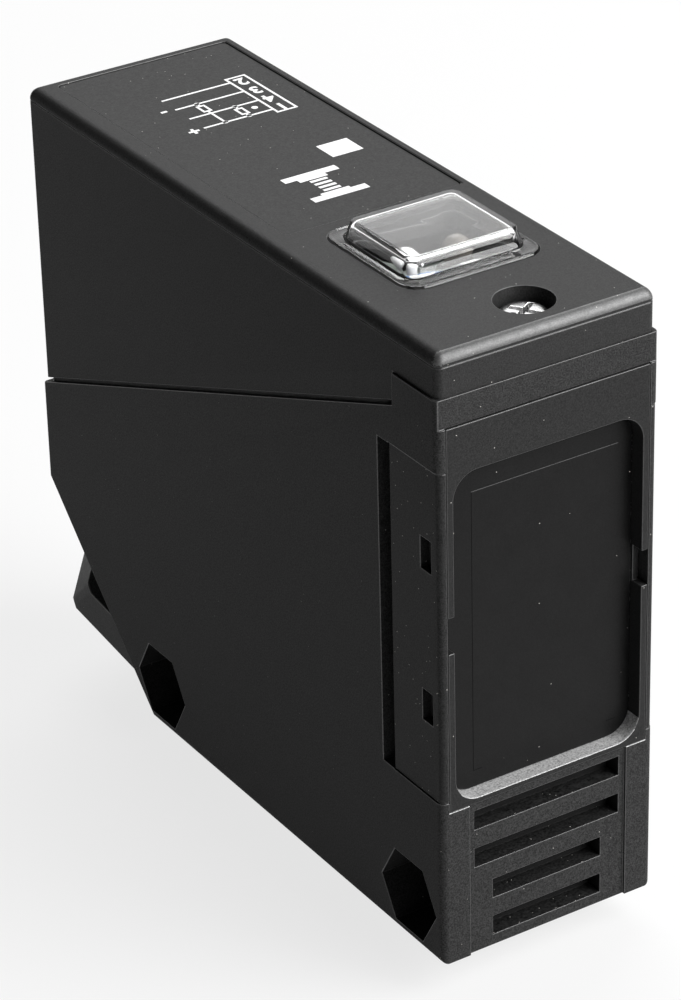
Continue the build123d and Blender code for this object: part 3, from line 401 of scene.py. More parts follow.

# %% [markdown]
# ## Rim, sill and slots: painted highlights, painted shade and dust
#
# The front-facing part of the lid's rounded rim is glossier, with a paler colour as a painted
# highlight. What faces up at the sill under the window and at the lips of the four slots is painted
# much paler as a painted highlight, and the slot floors are painted darker as painted shade; all of
# them also carry dust specks. The inside of the slots stays in deep shade, so it gets the dull black
# of the optics block, and the lid's sides share the housing's finish. The faces are picked by where
# they lie and which way they look.

# %% Rim, sill and slots
SIDEWAYS = 0.9
UPWARDS = 0.7
RIM_DROP = 1.3 * MM
SILL_REACH = 3.5 * MM
SLOT_HALF = 10 * MM
SLOT_FRONT, SLOT_END = 0.4 * MM, 4 * MM
SLOT_FLOOR_END = 6 * MM
LIP_DEPTH = 0.3 * MM
lid_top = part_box("lid")[1].z
front_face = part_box("housing")[0].y
sill_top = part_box("window_pane")[0].z
# Painted highlight: the rim is painted paler than the lid; its dust specks are real.
rim_highlight_finish = make_finish(
    "lid_rim_finish", *grey(0.022, 0.060), rough=(0.36, 0.52), bump=0.5, dust=0.4, specular=0.7
)
# Painted highlight: the sill and the slot lips face up and are painted far paler than the black round
# them; the dust specks are real.
sill_and_lip_highlight_finish = make_finish(
    "dusty_sill_finish", *grey(0.16, 0.46), rough=(0.22, 0.38), grain=4800.0, mottle=1500.0, bump=0.4,
    dust=0.5,
)
# Painted shade: the slot floors are painted darker than the housing; their dust specks are real.
slot_shade_finish = make_finish(
    "dusty_slot_finish", *grey(0.003, 0.022), rough=(0.4, 0.55), grain=4200.0, mottle=1200.0, bump=0.4,
    dust=0.8, specular=0.1,
)
# The painted highlight goes on the rim's front-facing rounding only.
refinish(
    mouldings["lid"], rim_highlight_finish,
    lambda face: 0.12 < face.normal.z < 0.97 and face.normal.y < -0.15
    and face.center.z > lid_top - RIM_DROP,
)
refinish(
    mouldings["lid"], black_plastics["housing"][0],
    lambda face: abs(face.normal.x) > SIDEWAYS and face.material_index == 0,
)
# Painted highlight on the upward faces of the sill.
refinish(
    mouldings["front_cover"], sill_and_lip_highlight_finish,
    lambda face: face.normal.z > 0.25 and abs(face.center.z - sill_top) < SILL_REACH,
)
refinish(
    mouldings["housing"], black_plastics["optics"][0],
    lambda face: SLOT_FRONT < face.center.y - front_face < SLOT_END
    and abs(face.center.x) < SLOT_HALF
    and face.center.z < sill_top,
)
# Painted shade on the slot floors.
refinish(
    mouldings["housing"], slot_shade_finish,
    lambda face: face.normal.z > UPWARDS
    and face.center.y < front_face + SLOT_FLOOR_END
    and face.center.z < sill_top,
)
# Painted highlight on the slot lips.
refinish(
    mouldings["housing"], sill_and_lip_highlight_finish,
    lambda face: 0.2 < face.normal.z < 0.95
    and face.center.y < front_face + LIP_DEPTH
    and face.center.z < sill_top,
)

# %% [markdown]
# ## The dark filter pane
#
# The window lets infrared through and looks almost black. It is a satin sheet, slightly darker than
# the frame round it. A fine line on it marks the lenses' field, along the top and down the left side,
# with a short mark at each lower corner. Its strip along the top is painted pale as a painted
# highlight, and the rest is painted dark and faint as painted shade. It is made of flat strips, so
# thin that they only just stand out of the pane.

# %% Filter pane
pane_finish = make_finish(
    "dark_filter_finish", *grey(0.0035, 0.0075), rough=(0.34, 0.40), mottle=400.0, bump=0.08,
    dust=0.05, specular=0.11,
)
# Painted highlight: the pane's rounded edge is painted several times paler than the pane.
pane_edge = make_finish("dark_filter_edge_highlight", *grey(0.02, 0.03), rough=(0.2, 0.3), bump=0.05)
pane = merged_copy("window_pane", "filter_pane")
round_edges(pane, 0.1 * MM, pane_finish, pane_edge)
stand_for(pane, "window_pane")


# %% Strips helper
def add_slab(shape, low, high):
    """A closed box from corner low to corner high, in a bmesh, in metres."""
    middle = (Vector(low) + Vector(high)) / 2
    size = Vector(high) - Vector(low)
    place = Matrix.Translation(middle) @ Matrix.Diagonal((*size, 1))
    bmesh.ops.create_cube(shape, size=1, matrix=place)


def solid_from(shape, name, *finishes):
    """A plain object from a bmesh."""
    mesh = bpy.data.meshes.new(name)
    shape.to_mesh(mesh)
    shape.free()
    for material in finishes:
        mesh.materials.append(material)
    return plain_mesh_object(name, mesh)


# %% Scribed line on the pane
pane_low, pane_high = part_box("window_pane")
SCRIBE_WIDTH = 0.07 * MM
SCRIBE_PROUD = 0.012 * MM
CORNER_MARK = 1.1 * MM
scribe_left, scribe_right = pane_low.x + 3.1 * MM, pane_high.x - 1.75 * MM
scribe_bottom, scribe_top = pane_low.z + 1.9 * MM, pane_high.z - 3.3 * MM
# Painted highlight and painted shade: one scribed line in a pale and a dark copy of its finish.
scribe_highlight = make_finish("scribed_line_highlight_finish", *grey(0.035, 0.055), rough=(0.25, 0.35), bump=0.1)
scribe_shade = make_finish(
    "scribed_line_shade_finish", *grey(0.002, 0.004), rough=(0.5, 0.6), bump=0.1, specular=0.05
)
scribe = bmesh.new()
near, far = pane_low.y - SCRIBE_PROUD, pane_low.y + SCRIBE_PROUD
for x0, x1, z0, z1 in (
    (scribe_left, scribe_right, scribe_top - SCRIBE_WIDTH, scribe_top),
    (scribe_left, scribe_left + SCRIBE_WIDTH, scribe_bottom, scribe_top - SCRIBE_WIDTH),
    (
        scribe_left + SCRIBE_WIDTH, scribe_left + CORNER_MARK,
        scribe_bottom, scribe_bottom + SCRIBE_WIDTH,
    ),
    (scribe_right - CORNER_MARK, scribe_right, scribe_bottom, scribe_bottom + SCRIBE_WIDTH),
):
    add_slab(scribe, (x0, near, z0), (x1, far, z1))
scribed_line = solid_from(scribe, "scribed_line", scribe_shade)
# Painted highlight on the top strip; the other strips keep the painted shade.
refinish(scribed_line, scribe_highlight, lambda face: face.center.z > scribe_top - 1.5 * SCRIBE_WIDTH)
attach(scribed_line, body_of["window_pane"])
print("scribed line", round((scribe_right - scribe_left) / MM, 2), "mm wide")

# %% [markdown]
# ## The clear hood
#
# The hood is a moulded acrylic dome with well-rounded corners: a flange in the lid's seat, a soft
# foot, drafted walls and a rounded top. Its shape is a stack of rounded rectangles that follow a
# profile, so it is built as rings of points, each ring joined to the next. The outer skin runs down
# to the flange, the inner one back up, and two flat caps close it, so it has a true wall for light to
# bend in.

# %% Hood profile
hood_low, hood_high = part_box("hood_window")
hood_middle = (hood_low + hood_high) / 2
CORNER_STEPS = 9
FLANGE_HALF = (hood_high.x - hood_low.x) / 2
FLANGE_CORNER = 2.35 * MM
DOME_HALF = (6.95 * MM, 6.25 * MM)
DOME_CORNER = 1.7 * MM
HOOD_WALL = 0.6 * MM
FLANGE_PROUD = 0.2 * MM
TOP_ROUND = 0.5 * MM
TOP_STEPS = 6
SLOPE_FOOT = 0.35 * MM
LEAST_CORNER = 0.6 * MM
DRAFT = radians(17)


def dome_ring(inset, z):
    """Half sizes, corner radius and height of a ring, inset from the dome's foot."""
    return (DOME_HALF[0] - inset, DOME_HALF[1] - inset, max(DOME_CORNER - inset, LEAST_CORNER), z)


def flange_ring(inset, z):
    """The same for a ring of the flange."""
    half = FLANGE_HALF - inset
    return (half, half, FLANGE_CORNER - inset, z)


def hood_profile():
    """The rings from the middle of the outer top, round the flange, to the middle of the inner top."""
    shoulder = hood_high.z - lid_top - TOP_ROUND
    rings = []
    slope_inset = (shoulder - SLOPE_FOOT) * tan(DRAFT)
    for step in range(TOP_STEPS + 1):
        angle = pi / 2 * (1 - step / TOP_STEPS)
        inset = slope_inset + TOP_ROUND * (1 - cos(angle))
        rings.append(dome_ring(inset, lid_top + shoulder + TOP_ROUND * sin(angle)))
    flange_top = lid_top + FLANGE_PROUD
    for out, up in ((0.02, 0.35), (-0.05, 0.2), (-0.16, 0.1), (-0.34, 0.03), (-0.55, 0.0)):
        rings.append(dome_ring(out * MM, flange_top + up * MM))
    for inset, drop in ((0.5, 0.08), (0.34, 0.0), (0.2, 0.0), (0.08, 0.05), (0.0, 0.2)):
        rings.append(flange_ring(inset * MM, flange_top - drop * MM))
    rings.append(flange_ring(0.0, hood_low.z))
    rings.append(dome_ring(HOOD_WALL, hood_low.z))
    rings.append(dome_ring(HOOD_WALL, flange_top))
    inner_shoulder = hood_high.z - HOOD_WALL - TOP_ROUND
    inner_inset = HOOD_WALL + (inner_shoulder - lid_top - FLANGE_PROUD) * tan(DRAFT)
    for step in range(1, TOP_STEPS + 1):
        angle = pi / 2 * step / TOP_STEPS
        inset = inner_inset + TOP_ROUND * (1 - cos(angle))
        rings.append(dome_ring(inset, inner_shoulder + TOP_ROUND * sin(angle)))
    return rings


def ring_points(half_x, half_y, corner, z):
    """Points of a rounded rectangle round the hood's middle, anticlockwise from above."""
    points = []
    for quarter in range(4):
        side_x = half_x - corner
        side_y = half_y - corner
        centre_x = side_x if quarter in (0, 3) else -side_x
        centre_y = side_y if quarter in (0, 1) else -side_y
        for step in range(CORNER_STEPS + 1):
            angle = pi / 2 * (quarter + step / CORNER_STEPS)
            x = hood_middle.x + centre_x + corner * cos(angle)
            y = hood_middle.y + centre_y + corner * sin(angle)
            points.append((x, y, z))
    return points


print("hood:", len(hood_profile()), "rings of", len(ring_points(1, 1, 0, 0)), "points")


# %% Hood shell
CLEAR_GRAIN = 900.0
CLEAR_RIPPLE = 0.1
HOOD_CREASE = radians(50)


def stacked_shell(name, rings, finish):
    """A closed shell through rings of points, with a flat cap at each end."""
    shape = bmesh.new()
    loops = [[shape.verts.new(p) for p in ring_points(*ring)] for ring in rings]
    count = len(loops[0])
    for upper, lower in zip(loops, loops[1:]):
        for i in range(count):
            j = (i + 1) % count
            shape.faces.new((upper[i], upper[j], lower[j], lower[i]))
    shape.faces.new(loops[0])
    shape.faces.new(list(reversed(loops[-1])))
    bmesh.ops.recalc_face_normals(shape, faces=shape.faces)
    shell = solid_from(shape, name, finish)
    shell.data.shade_smooth()
    shell.data.set_sharp_from_angle(angle=HOOD_CREASE)
    return shell


def make_clear(name, colour, rough, wander, ior=1.49, shade=(1, 1, 1)):
    """Clear moulded plastic. Rays from lamps pass straight through, so what is behind it is lit."""
    material = bpy.data.materials.new(name)
    material.use_nodes = True
    tree = material.node_tree
    shader = tree.nodes["Principled BSDF"]
    shader.inputs["Base Color"].default_value = (*colour, 1)
    shader.inputs["Transmission Weight"].default_value = 1.0
    shader.inputs["IOR"].default_value = ior
    skin = add_node(tree, "ShaderNodeGroup", node_tree=moulded_skin)
    skin.inputs["Grain per metre"].default_value = CLEAR_GRAIN
    skin.inputs["Smooth"].default_value = rough
    skin.inputs["Rough"].default_value = rough + wander
    join(tree, (skin, "Roughness"), (shader, "Roughness"))
    relief = add_node(tree, "ShaderNodeBump", Strength=CLEAR_RIPPLE, Distance=GRAIN_DEPTH)
    join(tree, (skin, "Height"), (relief, "Height"))
    join(tree, (relief, "Normal"), (shader, "Normal"))
    lamp_side = add_node(tree, "ShaderNodeBsdfTransparent")
    lamp_side.inputs["Color"].default_value = (*shade, 1)
    rays = add_node(tree, "ShaderNodeLightPath")
    either = add_node(tree, "ShaderNodeMixShader")
    join(tree, (rays, "Is Shadow Ray"), (either, 0))
    tree.links.new(shader.outputs[0], either.inputs[1])
    tree.links.new(lamp_side.outputs[0], either.inputs[2])
    tree.links.new(either.outputs[0], tree.nodes["Material Output"].inputs["Surface"])
    return material


clear_hood_finish = make_clear(
    "clear_hood_finish", (0.97, 0.97, 0.97), 0.02, 0.05, shade=(0.9, 0.9, 0.9)
)
hood = stacked_shell("clear_hood_dome", hood_profile(), clear_hood_finish)
stand_for(hood, "hood_window")

# %% [markdown]
# ## Printing on the lid
#
# The label plate carries white ink: the four plain terminal numbers in a box, the wires that they
# stand for, two loads, and a generic beam sign. Makers print their name there too, and those places
# stay bare. Ink lies about a hundredth of a millimetre proud, so each mark is a thin closed slab. A
# line is a box between two points, so one helper draws them all, in millimetres across the label and
# back from the front face.

# %% Ink helpers
label_low, label_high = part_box("label_plate")
INK_TOP = label_high.z + 0.015 * MM
INK_UNDER = label_high.z - 0.01 * MM
LINE_WIDTH = 0.27
HALF_LINE = LINE_WIDTH / 2
ink = bmesh.new()


def ink_box(x0, y0, x1, y1):
    """A filled rectangle; x across and y behind the front face, in millimetres."""
    low = (min(x0, x1) * MM, front_face + min(y0, y1) * MM, INK_UNDER)
    high = (max(x0, x1) * MM, front_face + max(y0, y1) * MM, INK_TOP)
    add_slab(ink, low, high)


def ink_line(x0, y0, x1, y1):
    """A level or upright line."""
    low_x, high_x = sorted((x0, x1))
    low_y, high_y = sorted((y0, y1))
    ink_box(low_x - HALF_LINE, low_y - HALF_LINE, high_x + HALF_LINE, high_y + HALF_LINE)


def ink_frame(x0, y0, x1, y1):
    """The outline of a rectangle; its sides meet without lying on each other."""
    ink_line(x0, y0, x1, y0)
    ink_line(x0, y1, x1, y1)
    for x in (x0, x1):
        ink_box(x - HALF_LINE, y0 + HALF_LINE, x + HALF_LINE, y1 - HALF_LINE)


def ink_dot(x, y, radius):
    """A filled round dot."""
    place = Matrix.Translation((x * MM, front_face + y * MM, (INK_TOP + INK_UNDER) / 2))
    bmesh.ops.create_cone(
        ink, cap_ends=True, segments=20, radius1=radius * MM, radius2=radius * MM,
        depth=INK_TOP - INK_UNDER, matrix=place,
    )


# %% Terminal plan
TERMINAL_NUMBERS = (("2", 66.2), ("3", 63.4), ("4", 60.7), ("1", 58.1))
WIRE_ROWS = (66.5, 63.7, 60.8, 57.9)
NUMBER_BOX = (5.65, 57.0, 7.95, 67.5)
WIRE_END = -2.7
LEFT_LOAD, RIGHT_LOAD = -0.2, 2.7
LOAD_HALF = (0.4, 0.75)
JUNCTION_RADIUS = 0.3
ink_frame(*NUMBER_BOX)
for row in WIRE_ROWS:
    ink_line(NUMBER_BOX[0] - LINE_WIDTH, row, WIRE_END, row)
for x, low_row, high_row in ((LEFT_LOAD, *WIRE_ROWS[2:0:-1]), (RIGHT_LOAD, *WIRE_ROWS[3:1:-1])):
    middle = (low_row + high_row) / 2
    ink_frame(x - LOAD_HALF[0], middle - LOAD_HALF[1], x + LOAD_HALF[0], middle + LOAD_HALF[1])
    ink_line(x, low_row + LINE_WIDTH, x, middle - LOAD_HALF[1] - LINE_WIDTH)
    ink_line(x, middle + LOAD_HALF[1] + LINE_WIDTH, x, high_row - LINE_WIDTH)
ink_line(LEFT_LOAD, WIRE_ROWS[3] + LINE_WIDTH, LEFT_LOAD, WIRE_ROWS[2] - LINE_WIDTH)
for x, row in ((LEFT_LOAD, 1), (RIGHT_LOAD, 2), (RIGHT_LOAD, 3), (LEFT_LOAD, 3)):
    ink_dot(x, WIRE_ROWS[row], JUNCTION_RADIUS)
ink_dot(4.28, 59.4, 0.36)
print("terminal plan:", len(ink.faces), "faces of ink")

# %% [markdown]
# ### The gap beside the label
#
# The label plate lies in a shallow seat, with a tenth of a millimetre free all round. That is too
# fine to be seen, yet on the right-hand side a dark line shows there, so a slightly wider strip of
# the dull black stands for the shade in the gap.

# %% Shadow gap beside the label
GAP_WIDTH = 0.24 * MM
gap = bmesh.new()
gap_under, gap_top = lid_top - 0.01 * MM, lid_top + 0.006 * MM
gap_low = (label_high.x, label_low.y, gap_under)
gap_high = (label_high.x + GAP_WIDTH, label_high.y, gap_top)
add_slab(gap, gap_low, gap_high)
label_gap = solid_from(gap, "label_shadow_gap", black_plastics["optics"][0])
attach(label_gap, body_of["label_plate"])
print("label's gap", round((label_high.y - label_low.y) / MM, 1), "mm long")

# %% [markdown]
# ### The beam sign
#
# Two stepped blocks stand for the sensor and its reflector, and four bars between them for the beam.
# A plain white field beside the sign is left blank.

# %% Beam sign and blank field
REFLECTOR_BLOCKS = ((-3.35, 41.15, 3.1, 42.2), (-2.0, 40.5, 1.3, 41.15))
SENSOR_BLOCKS = ((-3.3, 35.6, 3.2, 36.65), (-1.85, 36.65, 1.55, 37.05))
BLANK_FIELD = (4.1, 43.9, 7.8, 47.15)
BEAM_BARS, FIRST_BAR, BAR_PITCH, BAR_HEIGHT = 4, 37.35, 0.82, 0.42
for block in (*REFLECTOR_BLOCKS, *SENSOR_BLOCKS):
    ink_box(*block)
for step in range(BEAM_BARS):
    bar = FIRST_BAR + BAR_PITCH * step
    ink_box(-1.1, bar, 0.9, bar + BAR_HEIGHT)
ink_box(*BLANK_FIELD)
print("with the beam sign:", len(ink.faces), "faces of ink")

# %% [markdown]
# ### Plain numbers
#
# Blender's built-in typeface is enough for four digits, a plus and a minus. Each is a text object
# that becomes a mesh at its own size first, and only then is scaled and placed, because a text this
# small would lose its curves. The plan is read from the back of the sensor, so they stand turned by
# half a turn.

# %% Numbers
LETTER_THICKNESS = 0.01
LETTER_HEIGHT = 0.7
LETTER_BOLDNESS = 0.028
NUMBER_COLUMN, SIGN_COLUMN = 6.8, -4.1


def ink_text(text, x, y, height):
    """Adds a text as ink, centred on a point of the label, read from behind."""
    curve = bpy.data.curves.new("mark", "FONT")
    curve.body = text
    curve.align_x = "CENTER"
    curve.align_y = "CENTER"
    curve.extrude = LETTER_THICKNESS / 2
    curve.resolution_u = 4
    curve.offset = LETTER_BOLDNESS
    holder = bpy.data.objects.new("mark", curve)
    bpy.context.scene.collection.objects.link(holder)
    depsgraph = bpy.context.evaluated_depsgraph_get()
    mesh = bpy.data.meshes.new_from_object(holder.evaluated_get(depsgraph))
    scale = height * MM / LETTER_HEIGHT
    flat = Matrix.Diagonal((scale, scale, (INK_TOP - INK_UNDER) / LETTER_THICKNESS, 1))
    turn = Matrix.Rotation(pi, 4, "Z")
    place = Matrix.Translation((x * MM, front_face + y * MM, (INK_TOP + INK_UNDER) / 2))
    mesh.transform(place @ turn @ flat)
    ink.from_mesh(mesh)
    bpy.data.objects.remove(holder)
    bpy.data.curves.remove(curve)
    bpy.data.meshes.remove(mesh)


for digit, row in TERMINAL_NUMBERS:
    ink_text(digit, NUMBER_COLUMN, row, 1.75)
for sign, row in (("+", WIRE_ROWS[3]), ("-", WIRE_ROWS[1])):
    ink_text(sign, SIGN_COLUMN, row, 1.7)
ink_finish = make_finish(
    "white_ink_finish", *grey(0.62, 0.86), rough=(0.5, 0.7), grain=9000.0, mottle=1600.0, bump=0.2
)
for face in ink.faces:
    face.smooth = False
printing = solid_from(ink, "white_printing", ink_finish)
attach(printing, body_of["label_plate"])
print("printing:", len(printing.data.polygons), "faces")

# %% [markdown]
# ## The lid screw
#
# A nickel-plated pan head with a cross recess, and a threaded shank that shows when the lid is off.
# The head's shape is right already, so a copy gets fine edges; its shank is narrowed to the root of
# the thread, and the thread itself is grown along a spiral by Geometry Nodes. The screws inside are
# zinc-plated, which is duller and a little blue.

# %% Metal finishes
nickel = make_finish(
    "nickel_plate_finish", *grey(0.62, 0.72), rough=(0.16, 0.3), grain=2600.0, mottle=500.0,
    bump=0.12, metallic=1.0,
)
# Painted highlight: the nickel's edge finish is paler than the plate.
nickel_edge = make_finish(
    "nickel_edge_finish", *grey(0.75, 0.85), rough=(0.12, 0.2), bump=0.05, metallic=1.0
)
zinc = make_finish(
    "zinc_plate_finish", (0.42, 0.43, 0.45), (0.55, 0.56, 0.58), rough=(0.28, 0.42), grain=2200.0,
    mottle=380.0, bump=0.15, metallic=1.0,
)
print("metals:", nickel.name, nickel_edge.name, zinc.name)

# %% Screw with a narrowed shank
screw_low, screw_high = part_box("lid_screw")
screw_axis = (screw_low + screw_high) / 2
HEAD_HEIGHT = 2.4 * MM
JUST_BELOW = 0.01 * MM
SHANK_RADIUS = 1.5 * MM
ROOT_RADIUS = 1.22 * MM
PLAIN_NECK = 3.3 * MM
screw = merged_copy("lid_screw", "lid_screw_turned")
head_under = screw_high.z - HEAD_HEIGHT
thread_top = head_under - PLAIN_NECK


def narrow_shank(mesh):
    """Brings the threaded part of the shank in to the root of its thread."""
    shape = bmesh.new()
    shape.from_mesh(mesh)
    bmesh.ops.bisect_plane(
        shape, geom=shape.verts[:] + shape.edges[:] + shape.faces[:], dist=1e-7,
        plane_co=(0, 0, thread_top), plane_no=(0, 0, 1),
    )
    share = ROOT_RADIUS / SHANK_RADIUS
    for vert in shape.verts:
        if vert.co.z < thread_top - JUST_BELOW:
            vert.co.x = screw_axis.x + (vert.co.x - screw_axis.x) * share
            vert.co.y = screw_axis.y + (vert.co.y - screw_axis.y) * share
    shape.to_mesh(mesh)
    shape.free()


narrow_shank(screw.data)
round_edges(screw, 0.06 * MM, nickel, nickel_edge)
stand_for(screw, "lid_screw")


# %% [markdown]
# ### A thread grown along a spiral
#
# A thread is one shape swept along a helix. The tree below has its turns, radius and length as named
# inputs; a curve spiral carries a four-sided profile, and the result is realized and given its metal.
# The object that carried the tree is then turned into a plain mesh.


# %% Geometry Nodes helpers
GROWN_CREASE = radians(40)


def new_grower(name, inputs):
    """A geometry tree with named inputs, and its input and output nodes."""
    tree = bpy.data.node_groups.new(name, "GeometryNodeTree")
    tree.interface.new_socket("Geometry", in_out="INPUT", socket_type="NodeSocketGeometry")
    for label, (kind, value) in inputs.items():
        socket = tree.interface.new_socket(label, in_out="INPUT", socket_type=f"NodeSocket{kind}")
        if value is not None:
            socket.default_value = value
    tree.interface.new_socket("Geometry", in_out="OUTPUT", socket_type="NodeSocketGeometry")
    return tree, tree.nodes.new("NodeGroupInput"), tree.nodes.new("NodeGroupOutput")


def end_with_finish(tree, given, result, last):
    """Realize Instances, Set Material, output."""
    real = add_node(tree, "GeometryNodeRealizeInstances")
    coat = add_node(tree, "GeometryNodeSetMaterial")
    join(tree, last, (real, "Geometry"))
    join(tree, (real, "Geometry"), (coat, "Geometry"))
    join(tree, (given, "Finish"), (coat, "Material"))
    join(tree, (coat, "Geometry"), (result, "Geometry"))


def grow(tree, name, values, node, smooth=False):
    """Runs a tree with these values and leaves a plain mesh that rides with a node."""
    carrier = plain_mesh_object(name, bpy.data.meshes.new(name))
    modifier = carrier.modifiers.new("grower", "NODES")
    modifier.node_group = tree
    for item in tree.interface.items_tree:
        if item.in_out == "INPUT" and item.name in values:
            modifier[item.identifier] = values[item.name]
    depsgraph = bpy.context.evaluated_depsgraph_get()
    grown = bpy.data.meshes.new_from_object(carrier.evaluated_get(depsgraph))
    carrier.modifiers.clear()
    carrier.data = grown
    grown.name = name
    if smooth:
        grown.shade_smooth()
        grown.set_sharp_from_angle(angle=GROWN_CREASE)
    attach(carrier, body_of[node])
    print(f"{name}: {len(grown.polygons)} faces grown")


# %% Thread tree
def build_thread_tree():
    tree, given, result = new_grower(
        "screw_thread",
        {
            "Foot": ("Vector", (0, 0, 0)),
            "Radius": ("Float", 0.0013),
            "Turns": ("Float", 8.0),
            "Length": ("Float", 0.004),
            "Ridge": ("Float", 0.0002),
            "Steps": ("Int", 200),
            "Finish": ("Material", None),
        },
    )
    helix = add_node(tree, "GeometryNodeCurveSpiral")
    for label in ("Start Radius", "End Radius"):
        join(tree, (given, "Radius"), (helix, label))
    join(tree, (given, "Turns"), (helix, "Rotations"))
    join(tree, (given, "Length"), (helix, "Height"))
    join(tree, (given, "Steps"), (helix, "Resolution"))
    ridge = add_node(tree, "GeometryNodeCurvePrimitiveCircle")
    ridge.inputs["Resolution"].default_value = 4
    join(tree, (given, "Ridge"), (ridge, "Radius"))
    sweep = add_node(tree, "GeometryNodeCurveToMesh")
    sweep.inputs["Fill Caps"].default_value = True
    join(tree, (helix, "Curve"), (sweep, "Curve"))
    join(tree, (ridge, "Curve"), (sweep, "Profile Curve"))
    move = add_node(tree, "GeometryNodeTransform")
    join(tree, (sweep, "Mesh"), (move, "Geometry"))
    join(tree, (given, "Foot"), (move, "Translation"))
    end_with_finish(tree, given, result, (move, "Geometry"))
    return tree


THREAD_PITCH = 0.5 * MM
THREAD_LEAD_IN = 0.7 * MM
THREAD_RUN_OUT = 0.4 * MM
STEPS_PER_TURN = 28
thread_length = thread_top - screw_low.z - THREAD_LEAD_IN - THREAD_RUN_OUT
thread_turns = thread_length / THREAD_PITCH
grow(
    build_thread_tree(),
    "lid_screw_thread",
    {
        "Foot": (screw_axis.x, screw_axis.y, screw_low.z + THREAD_LEAD_IN),
        "Radius": ROOT_RADIUS + 0.04 * MM,
        "Turns": thread_turns,
        "Length": thread_length,
        "Ridge": 0.22 * MM,
        "Steps": int(thread_turns * STEPS_PER_TURN),
        "Finish": nickel,
    },
    "lid_screw",
)

# %% [markdown]
# ## Finishes for the pieces inside
#
# Under the hood and behind the window sit lenses, boards, lamps and terminals. Most are seen only
# through clear plastic or with the lid lifted, but each still gets its own finish: mottled board
# lacquer, milky lamp resin, tinned and zinc-plated metal, soft rubber. Their shapes are right, so the
# frame's own nodes stay and only their material changes.

# %% Inner finishes
board_finish = make_finish(
    "board_lacquer_finish", (0.075, 0.115, 0.09), (0.11, 0.16, 0.125), rough=(0.25, 0.4),
    grain=3800.0, mottle=900.0, bump=0.2, dust=0.06,
)
display_finish = make_finish(
    "display_board_finish", (0.26, 0.29, 0.27), (0.36, 0.39, 0.37), rough=(0.25, 0.4),
    grain=3800.0, mottle=900.0, bump=0.2,
)
deck_finish = make_finish("grey_deck_finish", *grey(0.16, 0.22), rough=(0.45, 0.6))
terminal_finish = make_finish("grey_terminal_finish", *grey(0.2, 0.27), rough=(0.4, 0.55), dust=0.06)
rubber_finish = make_finish(
    "black_rubber_finish", *grey(0.014, 0.026), rough=(0.7, 0.85), grain=3000.0, bump=0.5, dust=0.15
)
tin_finish = make_finish(
    "tinned_brass_finish", (0.55, 0.55, 0.52), (0.68, 0.68, 0.65), rough=(0.25, 0.4), metallic=1.0
)
brass_finish = make_finish(
    "brass_finish", (0.55, 0.38, 0.15), (0.7, 0.5, 0.22), rough=(0.25, 0.38), metallic=1.0
)
can_finish = make_finish(
    "capacitor_can_finish", (0.05, 0.06, 0.09), (0.08, 0.09, 0.13), rough=(0.3, 0.42), bump=0.1
)
trimmer_finish = make_finish(
    "blue_trimmer_finish", (0.04, 0.1, 0.24), (0.06, 0.14, 0.32), rough=(0.35, 0.5)
)
rotor_finish = make_finish("white_rotor_finish", *grey(0.6, 0.75), rough=(0.35, 0.5), mottle=900.0)
chip_finish = make_finish("dark_resin_finish", *grey(0.015, 0.03), rough=(0.5, 0.65), mottle=1200.0)
nylon_finish = make_finish("nylon_finish", *grey(0.5, 0.62), rough=(0.45, 0.6))
label_finish = make_finish(
    "label_plate_finish", *grey(0.010, 0.028), rough=(0.42, 0.54), dust=0.2, specular=0.12
)
lamp_white = make_finish("white_lamp_finish", *grey(0.72, 0.85), rough=(0.12, 0.22), mottle=700.0)
lamp_amber = make_finish(
    "amber_lamp_finish", (0.075, 0.068, 0.058), (0.11, 0.10, 0.085), rough=(0.12, 0.22), mottle=700.0
)
lens_finish = make_clear("clear_optic_finish", (0.98, 0.98, 0.98), 0.01, 0.02, ior=1.49)
emitter_finish = make_clear("clear_resin_finish", (0.85, 0.88, 0.95), 0.03, 0.05, ior=1.55)
print(len(bpy.data.materials), "finishes so far")

# %% Give the finishes to the nodes
node_finishes = {
    "pane_seal": rubber_finish,
    "lid_gasket": rubber_finish,
    "gland_o_ring": rubber_finish,
    "gland_grommet": rubber_finish,
    "receiver_lens": lens_finish,
    "emitter_lens": lens_finish,
    "emitter_led": emitter_finish,
    "photodiode": chip_finish,
    "board_chips": chip_finish,
    "mode_switch": chip_finish,
    "optics_board": board_finish,
    "main_board": board_finish,
    "terminal_board": board_finish,
    "display_board": display_finish,
    "display_pins": tin_finish,
    "contact_strips": tin_finish,
    "board_screws": zinc,
    "smoothing_capacitor": can_finish,
    "deck_plate": deck_finish,
    "power_led": lamp_white,
    "switching_led": lamp_amber,
    "potentiometer": trimmer_finish,
    "sensitivity_rotor": rotor_finish,
    "mode_slider": rotor_finish,
    "terminal_block": terminal_finish,
    "label_plate": label_finish,
    "screw_retainer": nylon_finish,
    "thread_insert": brass_finish,
}
for number in range(1, 5):
    node_finishes[f"terminal_screw_{number}"] = zinc
    node_finishes[f"wire_cage_{number}"] = zinc
for node, finish in node_finishes.items():
    for material_slot in frame["nodes"][node].material_slots:
        material_slot.material = finish
print(len(node_finishes), "nodes carry their own finish")

# %% [markdown]
# ## Solder joints on the display board
#
# A row of four pins comes up through the display board, and a joint is a small shiny cone round each
# of them. Geometry Nodes put one cone on each point of a grid, with the grid's counts and size as
# inputs. The joints of the lamps and adjusters lie under those parts and are left out.

# %% Joint tree
CONE_SIDES = 14
CONE_TOP_SHARE = 0.35


